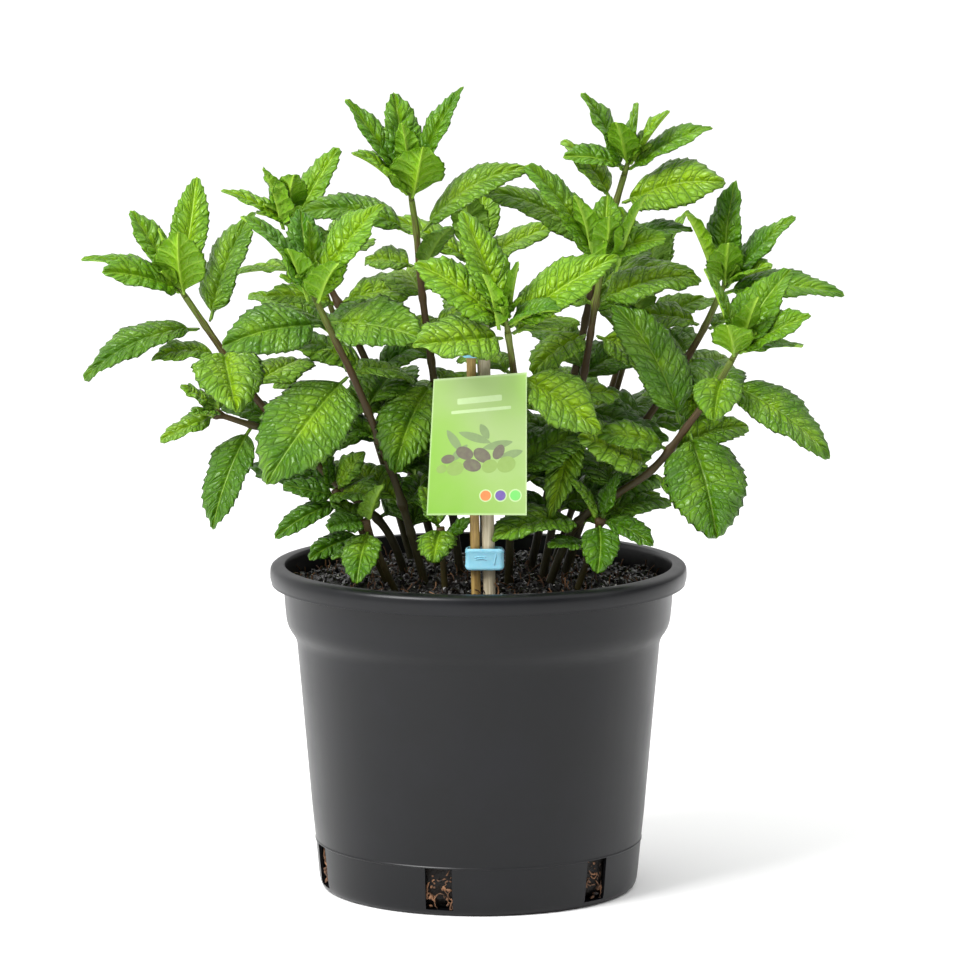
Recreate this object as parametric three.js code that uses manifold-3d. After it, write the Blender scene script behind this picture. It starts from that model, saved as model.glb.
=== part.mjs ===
// A mint plant in a 3 litre nursery pot, in millimetres, +Z up.
// The origin is at the centre of the pot's foot, on the surface that it stands on.
// -Y is the front, where the label is.
import * as THREE from "three";
import { mergeVertices } from "three/addons/utils/BufferGeometryUtils.js";
import Module from "manifold-3d";

const wasm = await Module();
wasm.setup();

// ---- Driving dimensions ----
const GAP = 0.35; // clearance between pieces that touch
const POT_HEIGHT = 149;
const RIM_RADIUS = 95;
const BAND_RADIUS = 88.6; // the straight collar under the rim
const BAND_BOTTOM = 123;
const BODY_TOP_RADIUS = 82.8;
const BODY_TOP = 114.5;
const BODY_FOOT_RADIUS = 73.3;
const FOOT_RADIUS = 70.2;
const CORNER_HEIGHT = 8;
const WALL = 1.6;
const FLOOR_LIFT = 2.2; // the floor hangs this far above the surface
const PAD_RADIUS = 28; // flat pad in the middle of the floor
const POT_SEGMENTS = 54;
const SLOT_COUNT = 6;
const SLOT_WIDTH = 12.4;
const SLOT_TOP = 22;
const SLOT_TURN = -14; // degrees from the front to the first slot
const SOIL_EDGE = 138;
const SOIL_CROWN = 141; // the potting mix rises a little in the middle
const CANE_FOOT = 48; // how deep the canes are pushed in
const CANE_TOP = 262;
const LABEL_WIDTH = 44.5;
const LABEL_HEIGHT = 64;
const LABEL_THICK = 0.7;
const STEM_ROOT = 127; // the stems start this high, inside the potting mix
const STEM_RADIUS = 2.1; // to a corner of the square stem, at the root
const STEM_TOP_RADIUS = 1.5;
const BUD_LENGTH = 9;
const LEAF_THICK = 0.9;
const PETIOLE_SHARE = 0.1;
const PETIOLE_RADIUS = 0.8;
const LOWER_LEAF = 50; // longest of the lower leaves
const LEAF_CLEARANCE = 1.4; // air kept free around a leaf while it finds its place
const LEAF_FOLD = 0.16; // how far the edges stand above the midrib, per half width
const STEM_STEPS = 9;
const SPRIG_STEPS = 4;
const SPRIG_RADIUS = 1.7;
const NODE_HEIGHT = 2.8; // the ridge that a pair of leaves makes round its stem
const NODE_RADIUS = 3.2;
const UP = new THREE.Vector3(0, 0, 1);
const FRONT = new THREE.Vector3(0, -1, 0);

const vec = (p) => new THREE.Vector3(...p);
const radians = THREE.MathUtils.degToRad;

// ---- Solids ----
function solidOf(geometry) {
  const bare = geometry.index ? geometry.toNonIndexed() : geometry;
  const points = new THREE.BufferGeometry().setAttribute("position", bare.getAttribute("position"));
  const merged = mergeVertices(points, 1e-4);
  const { array } = merged.attributes.position;
  const triangles = [];
  for (let i = 0; i < merged.index.count; i += 3) {
    const [a, b, c] = [0, 1, 2].map((k) => merged.index.getX(i + k));
    if (a !== b && b !== c && a !== c) triangles.push(a, b, c);
  }
  const triVerts = new Uint32Array(triangles);
  return new wasm.Manifold(new wasm.Mesh({ numProp: 3, vertProperties: array, triVerts }));
}

function geometryOf(solid) {
  const { vertProperties, triVerts } = solid.getMesh();
  return new THREE.BufferGeometry()
    .setAttribute("position", new THREE.BufferAttribute(vertProperties, 3))
    .setIndex(new THREE.BufferAttribute(triVerts, 1));
}

// A closed skin over rings of points, each with as many points, with a flat first end and a pointed last one.
function loft(rings, point) {
  const sides = rings[0].length;
  const corners = [];
  const face = (...three) => three.forEach((p) => corners.push(p.x, p.y, p.z));
  rings.slice(1).forEach((ring, k) => {
    for (let i = 0; i < sides; i++) {
      const j = (i + 1) % sides;
      face(rings[k][i], rings[k][j], ring[j]);
      face(rings[k][i], ring[j], ring[i]);
    }
  });
  const last = rings[rings.length - 1];
  for (let i = 0; i < sides; i++) face(last[i], last[(i + 1) % sides], point);
  for (let i = 1; i < sides - 1; i++) face(rings[0][0], rings[0][i + 1], rings[0][i]);
  return new THREE.BufferGeometry().setAttribute("position", new THREE.Float32BufferAttribute(corners, 3));
}

function lathe(profile, segments) {
  const turned = new THREE.LatheGeometry(profile.map(([r, z]) => new THREE.Vector2(r, z)), segments);
  return turned.rotateX(Math.PI / 2);
}

// ---- Pot and potting mix ----
function arc(centre, radius, from, to, steps) {
  return Array.from({ length: steps + 1 }, (_, i) => {
    const a = radians(from + ((to - from) * i) / steps);
    return [centre[0] + radius * Math.cos(a), centre[1] + radius * Math.sin(a)];
  });
}

function potSolid() {
  const roll = 3.6; // radius of the rolled lip
  const lipZ = POT_HEIGHT - roll;
  const inner = (r) => r - WALL;
  const profile = [
    [0, 0],
    [PAD_RADIUS, 0],
    [PAD_RADIUS + FLOOR_LIFT, FLOOR_LIFT],
    [FOOT_RADIUS - 5, FLOOR_LIFT],
    [FOOT_RADIUS - 3, 0],
    [FOOT_RADIUS, 0],
    [FOOT_RADIUS + 2.3, CORNER_HEIGHT / 3],
    [BODY_FOOT_RADIUS, CORNER_HEIGHT],
    [BODY_TOP_RADIUS, BODY_TOP],
    [BAND_RADIUS - 2.6, BAND_BOTTOM - 5],
    [BAND_RADIUS - 0.7, BAND_BOTTOM],
    [BAND_RADIUS, POT_HEIGHT - 9],
    [RIM_RADIUS - roll, POT_HEIGHT - 9],
    ...arc([RIM_RADIUS - roll, lipZ], roll, -40, 90, 5),
    [BAND_RADIUS - 0.3, POT_HEIGHT - 0.6],
    [inner(BAND_RADIUS), POT_HEIGHT - 3],
    [inner(BAND_RADIUS - 0.7), BAND_BOTTOM + 0.5],
    [inner(BODY_TOP_RADIUS), BODY_TOP + 1],
    [inner(BODY_FOOT_RADIUS), CORNER_HEIGHT + 1],
    [FOOT_RADIUS - 2.5, FLOOR_LIFT + WALL],
    [0, FLOOR_LIFT + WALL],
  ];
  let pot = solidOf(lathe(profile, POT_SEGMENTS));
  for (let i = 0; i < SLOT_COUNT; i++) {
    const slotHeight = SLOT_TOP - FLOOR_LIFT;
    const cutter = new THREE.BoxGeometry(SLOT_WIDTH, 20, slotHeight)
      .translate(0, -BODY_FOOT_RADIUS, FLOOR_LIFT + slotHeight / 2)
      .rotateZ(radians(SLOT_TURN + (360 / SLOT_COUNT) * i));
    pot = pot.subtract(solidOf(cutter));
  }
  return pot;
}

function soilSolid(planted) {
  const clear = (r) => r - WALL - GAP;
  const floor = FLOOR_LIFT + WALL + GAP;
  const profile = [
    [0, floor],
    [FOOT_RADIUS - 2.5 - GAP, floor],
    [clear(BODY_FOOT_RADIUS), CORNER_HEIGHT + 1],
    [clear(BODY_TOP_RADIUS), BODY_TOP + 1],
    [clear(BAND_RADIUS - 0.9), BAND_BOTTOM + 0.5],
    [clear(BAND_RADIUS - 0.4), SOIL_EDGE],
    [58, SOIL_EDGE + 1.5],
    [0, SOIL_CROWN],
  ];
  return planted.reduce((soil, hole) => soil.subtract(hole), solidOf(lathe(profile, 36)));
}

// ---- Canes, clips and label ----
const CANES = {
  cane_slim: { foot: [0.9, -57, CANE_FOOT], top: [-3.5, -56, CANE_TOP], radius: 2.1 },
  cane_stout: { foot: [7.2, -57, CANE_FOOT], top: [2.1, -54.1, CANE_TOP + 2], radius: 2.8 },
};

const CLIPS = {
  lower: { centre: [2.8, -57.4, 160], width: 17.4, depth: 8.6, height: 9.8 },
  upper: { centre: [-0.3, -55.6, 255], width: 14.4, depth: 8.8, height: 9.6 },
};

function rod(foot, top, radius, sides) {
  const along = vec(top).sub(vec(foot));
  const turn = new THREE.Quaternion().setFromUnitVectors(UP, along.clone().normalize());
  return new THREE.CylinderGeometry(radius, radius, along.length(), sides)
    .rotateX(Math.PI / 2)
    .applyQuaternion(turn)
    .translate(...vec(foot).add(vec(top)).multiplyScalar(0.5).toArray());
}

// A band that wraps both canes and stands clear of them by the gap.
function clipSolid({ centre, width, depth, height }) {
  const shape = new THREE.Shape();
  const [w, d, round] = [width / 2, depth / 2, 2.2];
  shape.moveTo(-w + round, -d);
  shape.lineTo(w - round, -d);
  shape.absarc(w - round, -d + round, round, -Math.PI / 2, 0);
  shape.absarc(w - round, d - round, round, 0, Math.PI / 2);
  shape.absarc(-w + round, d - round, round, Math.PI / 2, Math.PI);
  shape.absarc(-w + round, -d + round, round, Math.PI, 1.5 * Math.PI);
  const band = new THREE.ExtrudeGeometry(shape, { depth: height, bevelEnabled: false, curveSegments: 3 });
  const ring = solidOf(band.translate(centre[0], centre[1], centre[2] - height / 2));
  return Object.values(CANES).reduce(
    (left, { foot, top, radius }) => left.subtract(solidOf(rod(foot, top, radius + GAP, 12))),
    ring,
  );
}

// The card hangs in front of the canes; its top left corner is bent back.
function labelSolid() {
  const card = new THREE.BoxGeometry(LABEL_WIDTH, LABEL_THICK, LABEL_HEIGHT, 6, 1, 8);
  const at = card.attributes.position;
  for (let i = 0; i < at.count; i++) {
    const left = 0.5 - at.getX(i) / LABEL_WIDTH;
    const high = 0.5 + at.getZ(i) / LABEL_HEIGHT;
    const bent = left * high;
    at.setXYZ(
      i,
      at.getX(i) + 3.2 * bent,
      at.getY(i) + 3 * bent ** 2 - 2 * (left - 0.5) ** 2,
      at.getZ(i) - 3.5 * bent,
    );
  }
  return solidOf(card.translate(-0.8, -64.4, 212.6));
}

// ---- The plant ----
// Each shoot has a stem through the points given, pairs of leaves at heights on it, and a crown of young
// leaves.
// A leaf is [x, y, z of its tip, width, bend in degrees, how far its upper side turns to the front].
const SHOOTS = {
  centre: {
    stem: [[13, -24, STEM_ROOT], [15, -36, 190], [16, -51, 238], [13, -60, 262]],
    pairs: [
      [260, [-29, -84, 258, 31, 25, 0.9], [44, -20, 262, 24, 40, 0.4]],
      [242, [45, -60, 208, 31, 30, 0.9], [-8, -16, 244, 20, 40, 0.2]],
    ],
    crown: [
      [62, -62, 296, 27, 30, 0.9],
      [-28, -64, 294, 25, 25, 0.9],
      [36, -80, 274, 18, 40, 0.7],
      [-6, -50, 316, 23, 12, 0.3],
      [3, -72, 290, 14, -12, 0.2],
      [18, -66, 294, 14, 12, 0.4],
    ],
    lower: [226, 210, 194, 178],
    turn: 20,
  },
  front_left: {
    stem: [
      [-20, -18, STEM_ROOT],
      [-36, -24, 185],
      [-47, -30, 216],
      [-57, -36, 241],
      [-65, -41, 258],
      [-72, -45, 274],
    ],
    pairs: [
      [264, [-114, -60, 256, 29, 35, 0.9], [-25, -68, 260, 31, 30, 0.9]],
      [240, [-95, -77, 198, 40, 35, 0.8], [-30, -14, 234, 24, 35, 0.3]],
      [253, [-96, -24, 252, 20, 25, 0.4], [-50, -8, 270, 20, 35, 0.3]],
    ],
    crown: [
      [-104, -53, 314, 24, 20, 0.6],
      [-43, -50, 319, 27, 22, 0.8],
      [-62, -66, 295, 19, -15, 0],
      [-84, -62, 300, 16, -12, 0],
      [-80, -22, 312, 18, 15, 0],
      [-75, -46, 310, 13, -8, 0.2],
    ],
    lower: [224, 210, 196, 180, 166],
    turn: 70,
  },
  left: {
    stem: [
      [-28, -4, STEM_ROOT],
      [-42, -6, 165],
      [-66, -8, 188],
      [-100, -10, 225],
      [-118, -11, 251],
      [-132, -12, 272],
    ],
    pairs: [
      [259, [-178, -24, 236, 22, 60, 0.5], [-101, -4, 310, 25, 25, 0.6]],
      [246, [-148, -20, 246, 17, 40, 0.4], [-108, -50, 225, 32, 50, 0.5]],
    ],
    crown: [
      [-134, -30, 304, 23, -32, 0],
      [-168, -38, 286, 20, 30, 0.8],
      [-179, -14, 290, 14, 35, 0.5],
      [-128, 4, 326, 17, 18, 0.4],
      [-157, -10, 311, 19, 14, 0.5],
      [-143, -16, 304, 13, -8, 0.2],
    ],
    lower: [230, 214, 198, 183, 170],
    turn: 60,
  },
  tall_left: {
    stem: [
      [-6, -6, STEM_ROOT],
      [-14, -7, 190],
      [-21, -8, 240],
      [-26, -8, 278],
      [-28, -8, 301],
      [-30, -8, 315],
    ],
    pairs: [
      [301, [23, -16, 333, 22, 45, 0.6], [-82, -4, 311, 20, 50, 0.5]],
      [286, [-13, -30, 307, 16, 20, 0.3], [-52, -4, 288, 18, 40, 0.5]],
      [233, [-38, -47, 198, 30, 40, 0.7], [-2, 22, 228, 22, 40, 0.2]],
    ],
    crown: [
      [-25, -28, 342, 25, -30, 0],
      [-55, -26, 340, 22, 15, 0.6],
      [-60, -10, 361, 15, 22, 0.6],
      [-7, -8, 367, 16, 15, 0.6],
      [-37, 2, 364, 19, 5, 0],
      [-34, -20, 352, 13, -8, 0.2],
    ],
    lower: [272, 256, 243, 218, 203, 188, 173],
    turn: 100,
  },
  tall_right: {
    stem: [
      [20, 12, STEM_ROOT],
      [34, 12, 190],
      [46, 11, 245],
      [54, 10, 285],
      [61, 10, 308],
      [66, 10, 325],
    ],
    pairs: [
      [313, [111, -8, 325, 28, 25, 0.9], [38, 20, 341, 17, 30, 0.5]],
      [293, [97, 0, 303, 17, 30, 0.5], [3, 4, 320, 24, 30, 0.7]],
      [274, [101, -8, 279, 21, 60, 0.6], [26, 4, 268, 22, 50, 0.4]],
    ],
    crown: [
      [47, 8, 363, 20, 12, 0.5],
      [105, 0, 349, 18, 20, 0.6],
      [38, 6, 334, 15, 35, 0.5],
      [85, 2, 356, 17, 8, 0.5],
      [62, -12, 352, 15, -12, 0],
      [72, 12, 358, 15, -6, 0],
    ],
    lower: [259, 245, 230, 215, 200, 185, 170],
    turn: 40,
  },
  mid_right: {
    stem: [[26, -8, STEM_ROOT], [38, -12, 190], [48, -16, 240], [52, -18, 266], [55, -20, 284]],
    pairs: [
      [256, [88, -22, 236, 27, 30, 0.6], [24, -34, 240, 22, 35, 0.4]],
      [222, [31, -44, 176, 17, 20, 0.6], [84, -20, 206, 22, 35, 0.5]],
    ],
    crown: [
      [22, -28, 334, 26, 20, 0.6],
      [44, -38, 322, 17, 10, 0.2],
      [58, -2, 318, 16, 10, 0],
      [74, -36, 322, 18, 16, 0.4],
      [58, -42, 312, 15, -12, 0],
      [84, -26, 300, 18, 30, 0.6],
    ],
    lower: [270, 239, 207, 191, 175],
    turn: 10,
  },
  right: {
    stem: [[34, 6, STEM_ROOT], [52, 5, 178], [74, 2, 211], [88, 1, 232], [101, 0, 254], [109, 0, 271]],
    pairs: [
      [257, [70, 6, 262, 20, 35, 0.4], [126, 18, 262, 15, 30, 0]],
      [243, [97, -20, 214, 20, 40, 0.4], [84, 32, 252, 20, 35, 0]],
      [214, [57, -6, 230, 20, 30, 0.5], [106, 12, 206, 18, 30, 0.3]],
    ],
    crown: [
      [165, -10, 272, 22, 55, 0.6],
      [94, -8, 311, 23, 12, 0.4],
      [143, -4, 308, 20, 15, 0.6],
      [117, 8, 323, 20, 5, 0.2],
      [112, -22, 298, 17, -12, 0.2],
      [132, -16, 286, 17, 20, 0.6],
    ],
    lower: [230, 200, 187, 173],
    turn: 55,
  },
  front_right: {
    stem: [
      [26, -26, STEM_ROOT],
      [44, -30, 171],
      [60, -33, 184],
      [78, -36, 197],
      [95, -39, 219],
      [105, -40, 233],
      [113, -42, 247],
    ],
    pairs: [
      [239, [158, -56, 206, 28, 30, 0.8], [104, -70, 224, 22, 50, 0.6]],
      [216, [106, -64, 170, 36, 25, 0.7], [61, -26, 272, 28, 45, 0.7]],
      [197, [44, -48, 213, 29, 20, 0.8], [104, -42, 172, 20, 30, 0.4]],
    ],
    crown: [
      [139, -30, 288, 25, 15, 0.8],
      [110, -64, 266, 19, -12, 0],
      [148, -52, 268, 19, 20, 0.6],
      [146, -26, 252, 15, 20, 0.4],
      [101, -44, 289, 17, 12, 0.4],
      [123, -54, 278, 15, -8, 0.2],
    ],
    lower: [228, 206, 185, 172],
    turn: 100,
  },
  back_left: {
    stem: [[-14, 18, STEM_ROOT], [-30, 24, 185], [-55, 32, 245], [-75, 38, 283], [-84, 40, 297]],
    pairs: [[279, [-114, 42, 276, 18, 35, 0.2], [-48, 56, 290, 20, 40, 0.2]]],
    crown: [
      [-118, 34, 316, 14, 30, 0.6],
      [-64, 50, 334, 19, 8, 0.5],
      [-68, 18, 310, 15, 12, 0],
      [-97, 26, 328, 18, 6, 0.3],
      [-84, 20, 326, 16, -8, 0],
    ],
    lower: [264, 248, 232, 216, 200, 184],
    turn: 15,
  },
};

// Smaller shoots, each grown as one piece: a stem and the leaves on it, as
// [share of the stem's length, leaf].
const SPRIGS = {
  sprig_far_left: {
    stem: [[-86, -10, 209], [-102, -15, 214], [-119, -18, 220]],
    leaves: [
      [0.5, [-121, -34, 169, 21, 45, 0.6]],
      [1, [-134, -22, 233, 15, 20, 0.5]],
      [1, [-144, -26, 209, 15, 20, 0.6]],
      [1, [-117, -20, 233, 10, 10, 0.2]],
      [1, [-128, -34, 222, 12, 20, 0.4]],
    ],
  },
  sprig_low_left: {
    stem: [[-36, -14, STEM_ROOT + 3], [-52, -20, 165], [-65, -24, 186]],
    leaves: [
      [0.95, [-47, -50, 186, 21, 30, 0.8]],
      [0.9, [-92, -36, 166, 13, 40, 0.6]],
      [0.95, [-88, -28, 189, 15, 20, 0.6]],
      [1, [-70, -22, 206, 13, 10, 0.3]],
      [1, [-52, -24, 204, 17, 20, 0.5]],
      [0.6, [-76, -44, 158, 15, 30, 0.5]],
    ],
  },
  sprig_front_left: {
    stem: [[-32, -36, STEM_ROOT + 3], [-44, -44, 158], [-51, -48, 176]],
    leaves: [
      [0.9, [-54, -68, 150, 17, 40, 0.5]],
      [1, [-67, -58, 173, 17, 25, 0.6]],
      [0.7, [-66, -52, 160, 13, 20, 0.5]],
      [1, [-44, -54, 194, 16, 15, 0.2]],
      [1, [-60, -44, 194, 13, 12, 0.3]],
    ],
  },
  sprig_front: {
    stem: [[-14, -40, STEM_ROOT + 3], [-16, -43, 158], [-17, -45, 172]],
    leaves: [
      [1, [-20, -64, 159, 17, 35, 0.6]],
      [0.8, [-3, -46, 176, 12, 20, 0.4]],
      [1, [-26, -38, 190, 14, 15, 0.3]],
    ],
  },
  sprig_front_right: {
    stem: [[40, -36, STEM_ROOT + 3], [50, -41, 160], [55, -43, 176]],
    leaves: [
      [0.95, [53, -64, 154, 17, 35, 0.6]],
      [1, [79, -50, 165, 14, 35, 0.5]],
      [0.7, [31, -56, 165, 13, 30, 0.5]],
      [1, [64, -40, 196, 16, 15, 0.3]],
      [1, [42, -46, 194, 14, 15, 0.3]],
    ],
  },
  shoot_back_left: {
    stem: [[-26, 34, STEM_ROOT], [-45, 50, 190], [-62, 64, 240], [-74, 74, 272]],
    leaves: [
      [0.28, [-72, 30, 190, 24, 35, 0]],
      [0.28, [-10, 70, 186, 24, 35, 0]],
      [0.55, [-95, 40, 225, 26, 35, 0]],
      [0.55, [-32, 95, 228, 26, 35, 0]],
      [0.8, [-108, 88, 262, 24, 35, 0]],
      [0.8, [-38, 82, 270, 24, 35, 0]],
      [0.97, [-70, 104, 290, 24, 25, 0]],
      [0.97, [-80, 52, 300, 20, 15, 0]],
      [1, [-92, 78, 302, 17, 10, 0]],
      [1, [-62, 78, 304, 17, 10, 0]],
    ],
  },
  shoot_back: {
    stem: [[2, 36, STEM_ROOT], [2, 50, 190], [0, 60, 250], [-2, 64, 286]],
    leaves: [
      [0.25, [42, 52, 186, 25, 35, 0]],
      [0.25, [-34, 60, 184, 24, 35, 0]],
      [0.5, [40, 78, 225, 27, 35, 0]],
      [0.5, [-36, 66, 222, 26, 35, 0]],
      [0.75, [-8, 108, 256, 26, 35, 0]],
      [0.75, [6, 22, 270, 26, 30, 0]],
      [0.95, [36, 66, 296, 23, 30, 0.4]],
      [0.95, [-40, 60, 300, 22, 30, 0.4]],
      [1, [2, 84, 318, 18, 10, 0]],
      [1, [-6, 48, 316, 18, 10, 0]],
    ],
  },
  shoot_back_right: {
    stem: [[30, 44, STEM_ROOT], [52, 60, 190], [70, 74, 245], [80, 82, 272]],
    leaves: [
      [0.28, [80, 38, 188, 24, 35, 0]],
      [0.28, [14, 84, 190, 24, 35, 0]],
      [0.55, [96, 50, 222, 26, 35, 0]],
      [0.55, [30, 96, 230, 26, 35, 0]],
      [0.8, [118, 92, 258, 24, 35, 0]],
      [0.8, [45, 70, 270, 24, 30, 0]],
      [0.97, [78, 116, 290, 24, 25, 0]],
      [0.97, [84, 56, 300, 20, 15, 0]],
      [1, [98, 84, 302, 17, 10, 0]],
      [1, [66, 88, 304, 17, 10, 0]],
    ],
  },
  shoot_inner_right: {
    stem: [[38, 26, STEM_ROOT], [54, 32, 190], [66, 36, 232], [72, 38, 252]],
    leaves: [
      [0.35, [20, 44, 190, 24, 35, 0]],
      [0.35, [84, 22, 176, 24, 35, 0.3]],
      [0.65, [100, 26, 212, 24, 35, 0.4]],
      [0.65, [40, 56, 224, 24, 35, 0.4]],
      [0.95, [106, 46, 262, 22, 35, 0.3]],
      [0.95, [44, 30, 270, 22, 25, 0.4]],
      [1, [76, 56, 282, 17, 10, 0]],
      [1, [74, 14, 280, 18, 15, 0.2]],
    ],
  },
};

// A stem is square, as on all mints, and thins towards its top.
function stemGeometry(points, radius, topRadius, steps) {
  const path = new THREE.CatmullRomCurve3(points.map(vec));
  const rings = Array.from({ length: steps + 1 }, (_, k) => {
    const along = path.getTangentAt(k / steps);
    const across = new THREE.Vector3().crossVectors(UP, FRONT).projectOnPlane(along).normalize();
    const third = new THREE.Vector3().crossVectors(along, across);
    const r = THREE.MathUtils.lerp(radius, topRadius, k / steps);
    return [0, 1, 2, 3].map((i) => {
      const a = radians(45 + 90 * i);
      const out = across.clone().multiplyScalar(r * Math.cos(a)).addScaledVector(third, r * Math.sin(a));
      return out.add(path.getPointAt(k / steps));
    });
  });
  const top = path.getPointAt(1).addScaledVector(path.getTangentAt(1), topRadius);
  return { path, geometry: loft(rings, top) };
}

// The leaf's midrib is an arc from base to tip. Its blade has four points at each station: an edge, the upper
// side, the other edge and the lower side.
const BLADE = [
  // share of the blade's length, share of its half width
  [0.0, 0.0],
  [0.17, 0.84],
  [0.46, 1.0],
  [0.78, 0.68],
];

function leafGeometry({ base, tip, width, bend, face, fold, thick }) {
  const chord = tip.clone().sub(base);
  const length = chord.length();
  const along = chord.normalize();
  const facing = UP.clone().projectOnPlane(along).normalize();
  const up = facing.addScaledVector(FRONT.clone().projectOnPlane(along), face).normalize();
  const side = new THREE.Vector3().crossVectors(along, up);
  const turn = radians(bend);
  const scale = length / (2 * Math.sin(turn / 2));
  const station = (share, halfWidth, half) => {
    const a = turn * (share - 0.5);
    const middle = base
      .clone()
      .addScaledVector(along, scale * (Math.sin(a) + Math.sin(turn / 2)))
      .addScaledVector(up, scale * (Math.cos(a) - Math.cos(turn / 2)));
    const normal = up.clone().multiplyScalar(Math.cos(a)).addScaledVector(along, Math.sin(a));
    const at = (across, height) =>
      middle.clone().addScaledVector(side, across).addScaledVector(normal, height);
    return [at(-halfWidth, fold * halfWidth), at(0, half), at(halfWidth, fold * halfWidth), at(0, -half)];
  };
  const share = (s) => PETIOLE_SHARE + (1 - PETIOLE_SHARE) * s;
  const stalk = thick + PETIOLE_RADIUS - LEAF_THICK;
  const rings = [
    station(0, stalk, stalk),
    ...BLADE.map(([s, w]) => station(share(s), Math.max(stalk, (w * width) / 2), thick / 2)),
  ];
  return loft(rings, tip);
}

// ---- Growing ----
// Everything that has its place is kept here, so that what grows later can keep clear of it.
const placed = [];

function place(solid, owner) {
  const { min, max } = solid.boundingBox();
  placed.push({ solid, owner, box: new THREE.Box3(vec(min), vec(max)) });
  return solid;
}

function touches(solid, owners) {
  const { min, max } = solid.boundingBox();
  const box = new THREE.Box3(vec(min), vec(max));
  const others = placed.filter((other) => !owners.includes(other.owner) && other.box.intersectsBox(box));
  return others.some((other) => solid.intersect(other.solid).volume() > 0);
}

const largest = (solid) => solid.decompose().reduce((a, b) => (a.volume() > b.volume() ? a : b));
const clearOf = (solid, others) => largest(others.reduce((left, other) => left.subtract(other), solid));

// A leaf that would touch what has already grown turns a little: it takes the smallest turn that clears it.
const TURNS = [];
for (let swing = -40; swing <= 40; swing += 5) {
  for (let lift = -40; lift <= 40; lift += 5) TURNS.push([swing, lift]);
}
TURNS.sort((a, b) => Math.hypot(...a) - Math.hypot(...b));

function growLeaf(base, [x, y, z, width, bend, face], owners) {
  const reach = vec([x, y, z]).sub(base);
  const level = new THREE.Vector3().crossVectors(reach, UP).normalize();
  for (const size of [1, 0.85, 0.7, 0.5]) {
    for (const [swing, lift] of TURNS) {
      const turned = reach.clone().multiplyScalar(size).applyAxisAngle(level, radians(lift));
      const tip = turned.applyAxisAngle(UP, radians(swing)).add(base);
      const leaf = { base, tip, bend, face, fold: LEAF_FOLD, width: width * size, thick: LEAF_THICK };
      const roomy = { ...leaf, width: leaf.width + LEAF_CLEARANCE, thick: LEAF_THICK + LEAF_CLEARANCE };
      if (!touches(solidOf(leafGeometry(roomy)), owners)) return solidOf(leafGeometry(leaf));
    }
  }
  return null;
}

function join(whole, leaf, owner) {
  return leaf ? whole.add(place(leaf, owner)) : whole;
}

// Where a leaf leaves its stem: on the side that its tip lies.
function foot(path, share, [x, y, z], radius) {
  const middle = path.getPointAt(share);
  const out = vec([x, y, z]).sub(middle).projectOnPlane(path.getTangentAt(share)).normalize();
  return middle.addScaledVector(out, radius);
}

const shareAtHeight = (path, height) => {
  const steps = Array.from({ length: 201 }, (_, i) => i / 200);
  return steps.reduce((a, b) =>
    Math.abs(path.getPointAt(b).z - height) < Math.abs(path.getPointAt(a).z - height) ? b : a,
  );
};

const parts = {};
const sockets = []; // what the stems and canes need out of the potting mix

parts.pot = potSolid();
place(parts.pot, "pot");
place(soilSolid([]), "potting_mix");

for (const [name, { foot, top, radius }] of Object.entries(CANES)) {
  parts[name] = place(solidOf(rod(foot, top, radius, 12)), name);
  const deeper = [foot[0], foot[1], foot[2] - GAP];
  sockets.push(solidOf(rod(deeper, top, radius + GAP, 12)));
}
parts.clip_lower = place(clipSolid(CLIPS.lower), "clip_lower");
parts.clip_upper = place(clipSolid(CLIPS.upper), "clip_upper");
parts.label = place(labelSolid(), "label");

const paths = {};
const stemRoom = {};
for (const [name, { stem }] of Object.entries(SHOOTS)) {
  const { path, geometry } = stemGeometry(stem, STEM_RADIUS, STEM_TOP_RADIUS, STEM_STEPS);
  paths[name] = path;
  parts["stem_" + name] = place(solidOf(geometry), "stem_" + name);
  const deeper = [[stem[0][0], stem[0][1], stem[0][2] - GAP], ...stem.slice(1)];
  const room = stemGeometry(deeper, STEM_RADIUS + 1.5 * GAP, STEM_TOP_RADIUS + 1.5 * GAP, STEM_STEPS);
  stemRoom[name] = solidOf(room.geometry);
  sockets.push(stemRoom[name]);
}

for (const [name, { crown }] of Object.entries(SHOOTS)) {
  const path = paths[name];
  const along = path.getTangentAt(1);
  const start = path.getPointAt(1).addScaledVector(along, GAP + 0.3);
  const heart = start.clone().addScaledVector(along, BUD_LENGTH);
  const owner = "crown_" + name;
  const owners = [owner, "stem_" + name];
  let whole = solidOf(rod(start.toArray(), heart.toArray(), STEM_TOP_RADIUS, 6));
  place(whole, owner);
  for (const leaf of crown) {
    const out = vec(leaf).sub(start).projectOnPlane(along).normalize();
    const high = crown.indexOf(leaf) / crown.length;
    const base = start.clone().addScaledVector(along, 1 + (BUD_LENGTH - 2) * high).addScaledVector(out, 0.6);
    whole = join(whole, growLeaf(base, leaf, owners), owner);
  }
  parts[owner] = clearOf(whole, [stemRoom[name]]);
}

for (const [name, { pairs }] of Object.entries(SHOOTS)) {
  const path = paths[name];
  pairs.forEach(([height, ...leaves], k) => {
    const share = shareAtHeight(path, height);
    const along = path.getTangentAt(share).multiplyScalar(NODE_HEIGHT / 2);
    const middle = path.getPointAt(share);
    const owner = "leaves_" + name + "_" + (k + 1);
    const [under, over] = [middle.clone().sub(along), middle.clone().add(along)];
    let whole = solidOf(rod(under.toArray(), over.toArray(), NODE_RADIUS, 8));
    place(whole, owner);
    for (const leaf of leaves) {
      const base = foot(path, share, leaf, NODE_RADIUS - 0.6);
      whole = join(whole, growLeaf(base, leaf, [owner, "stem_" + name]), owner);
    }
    parts[owner] = clearOf(whole, [stemRoom[name]]);
  });
}

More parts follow.
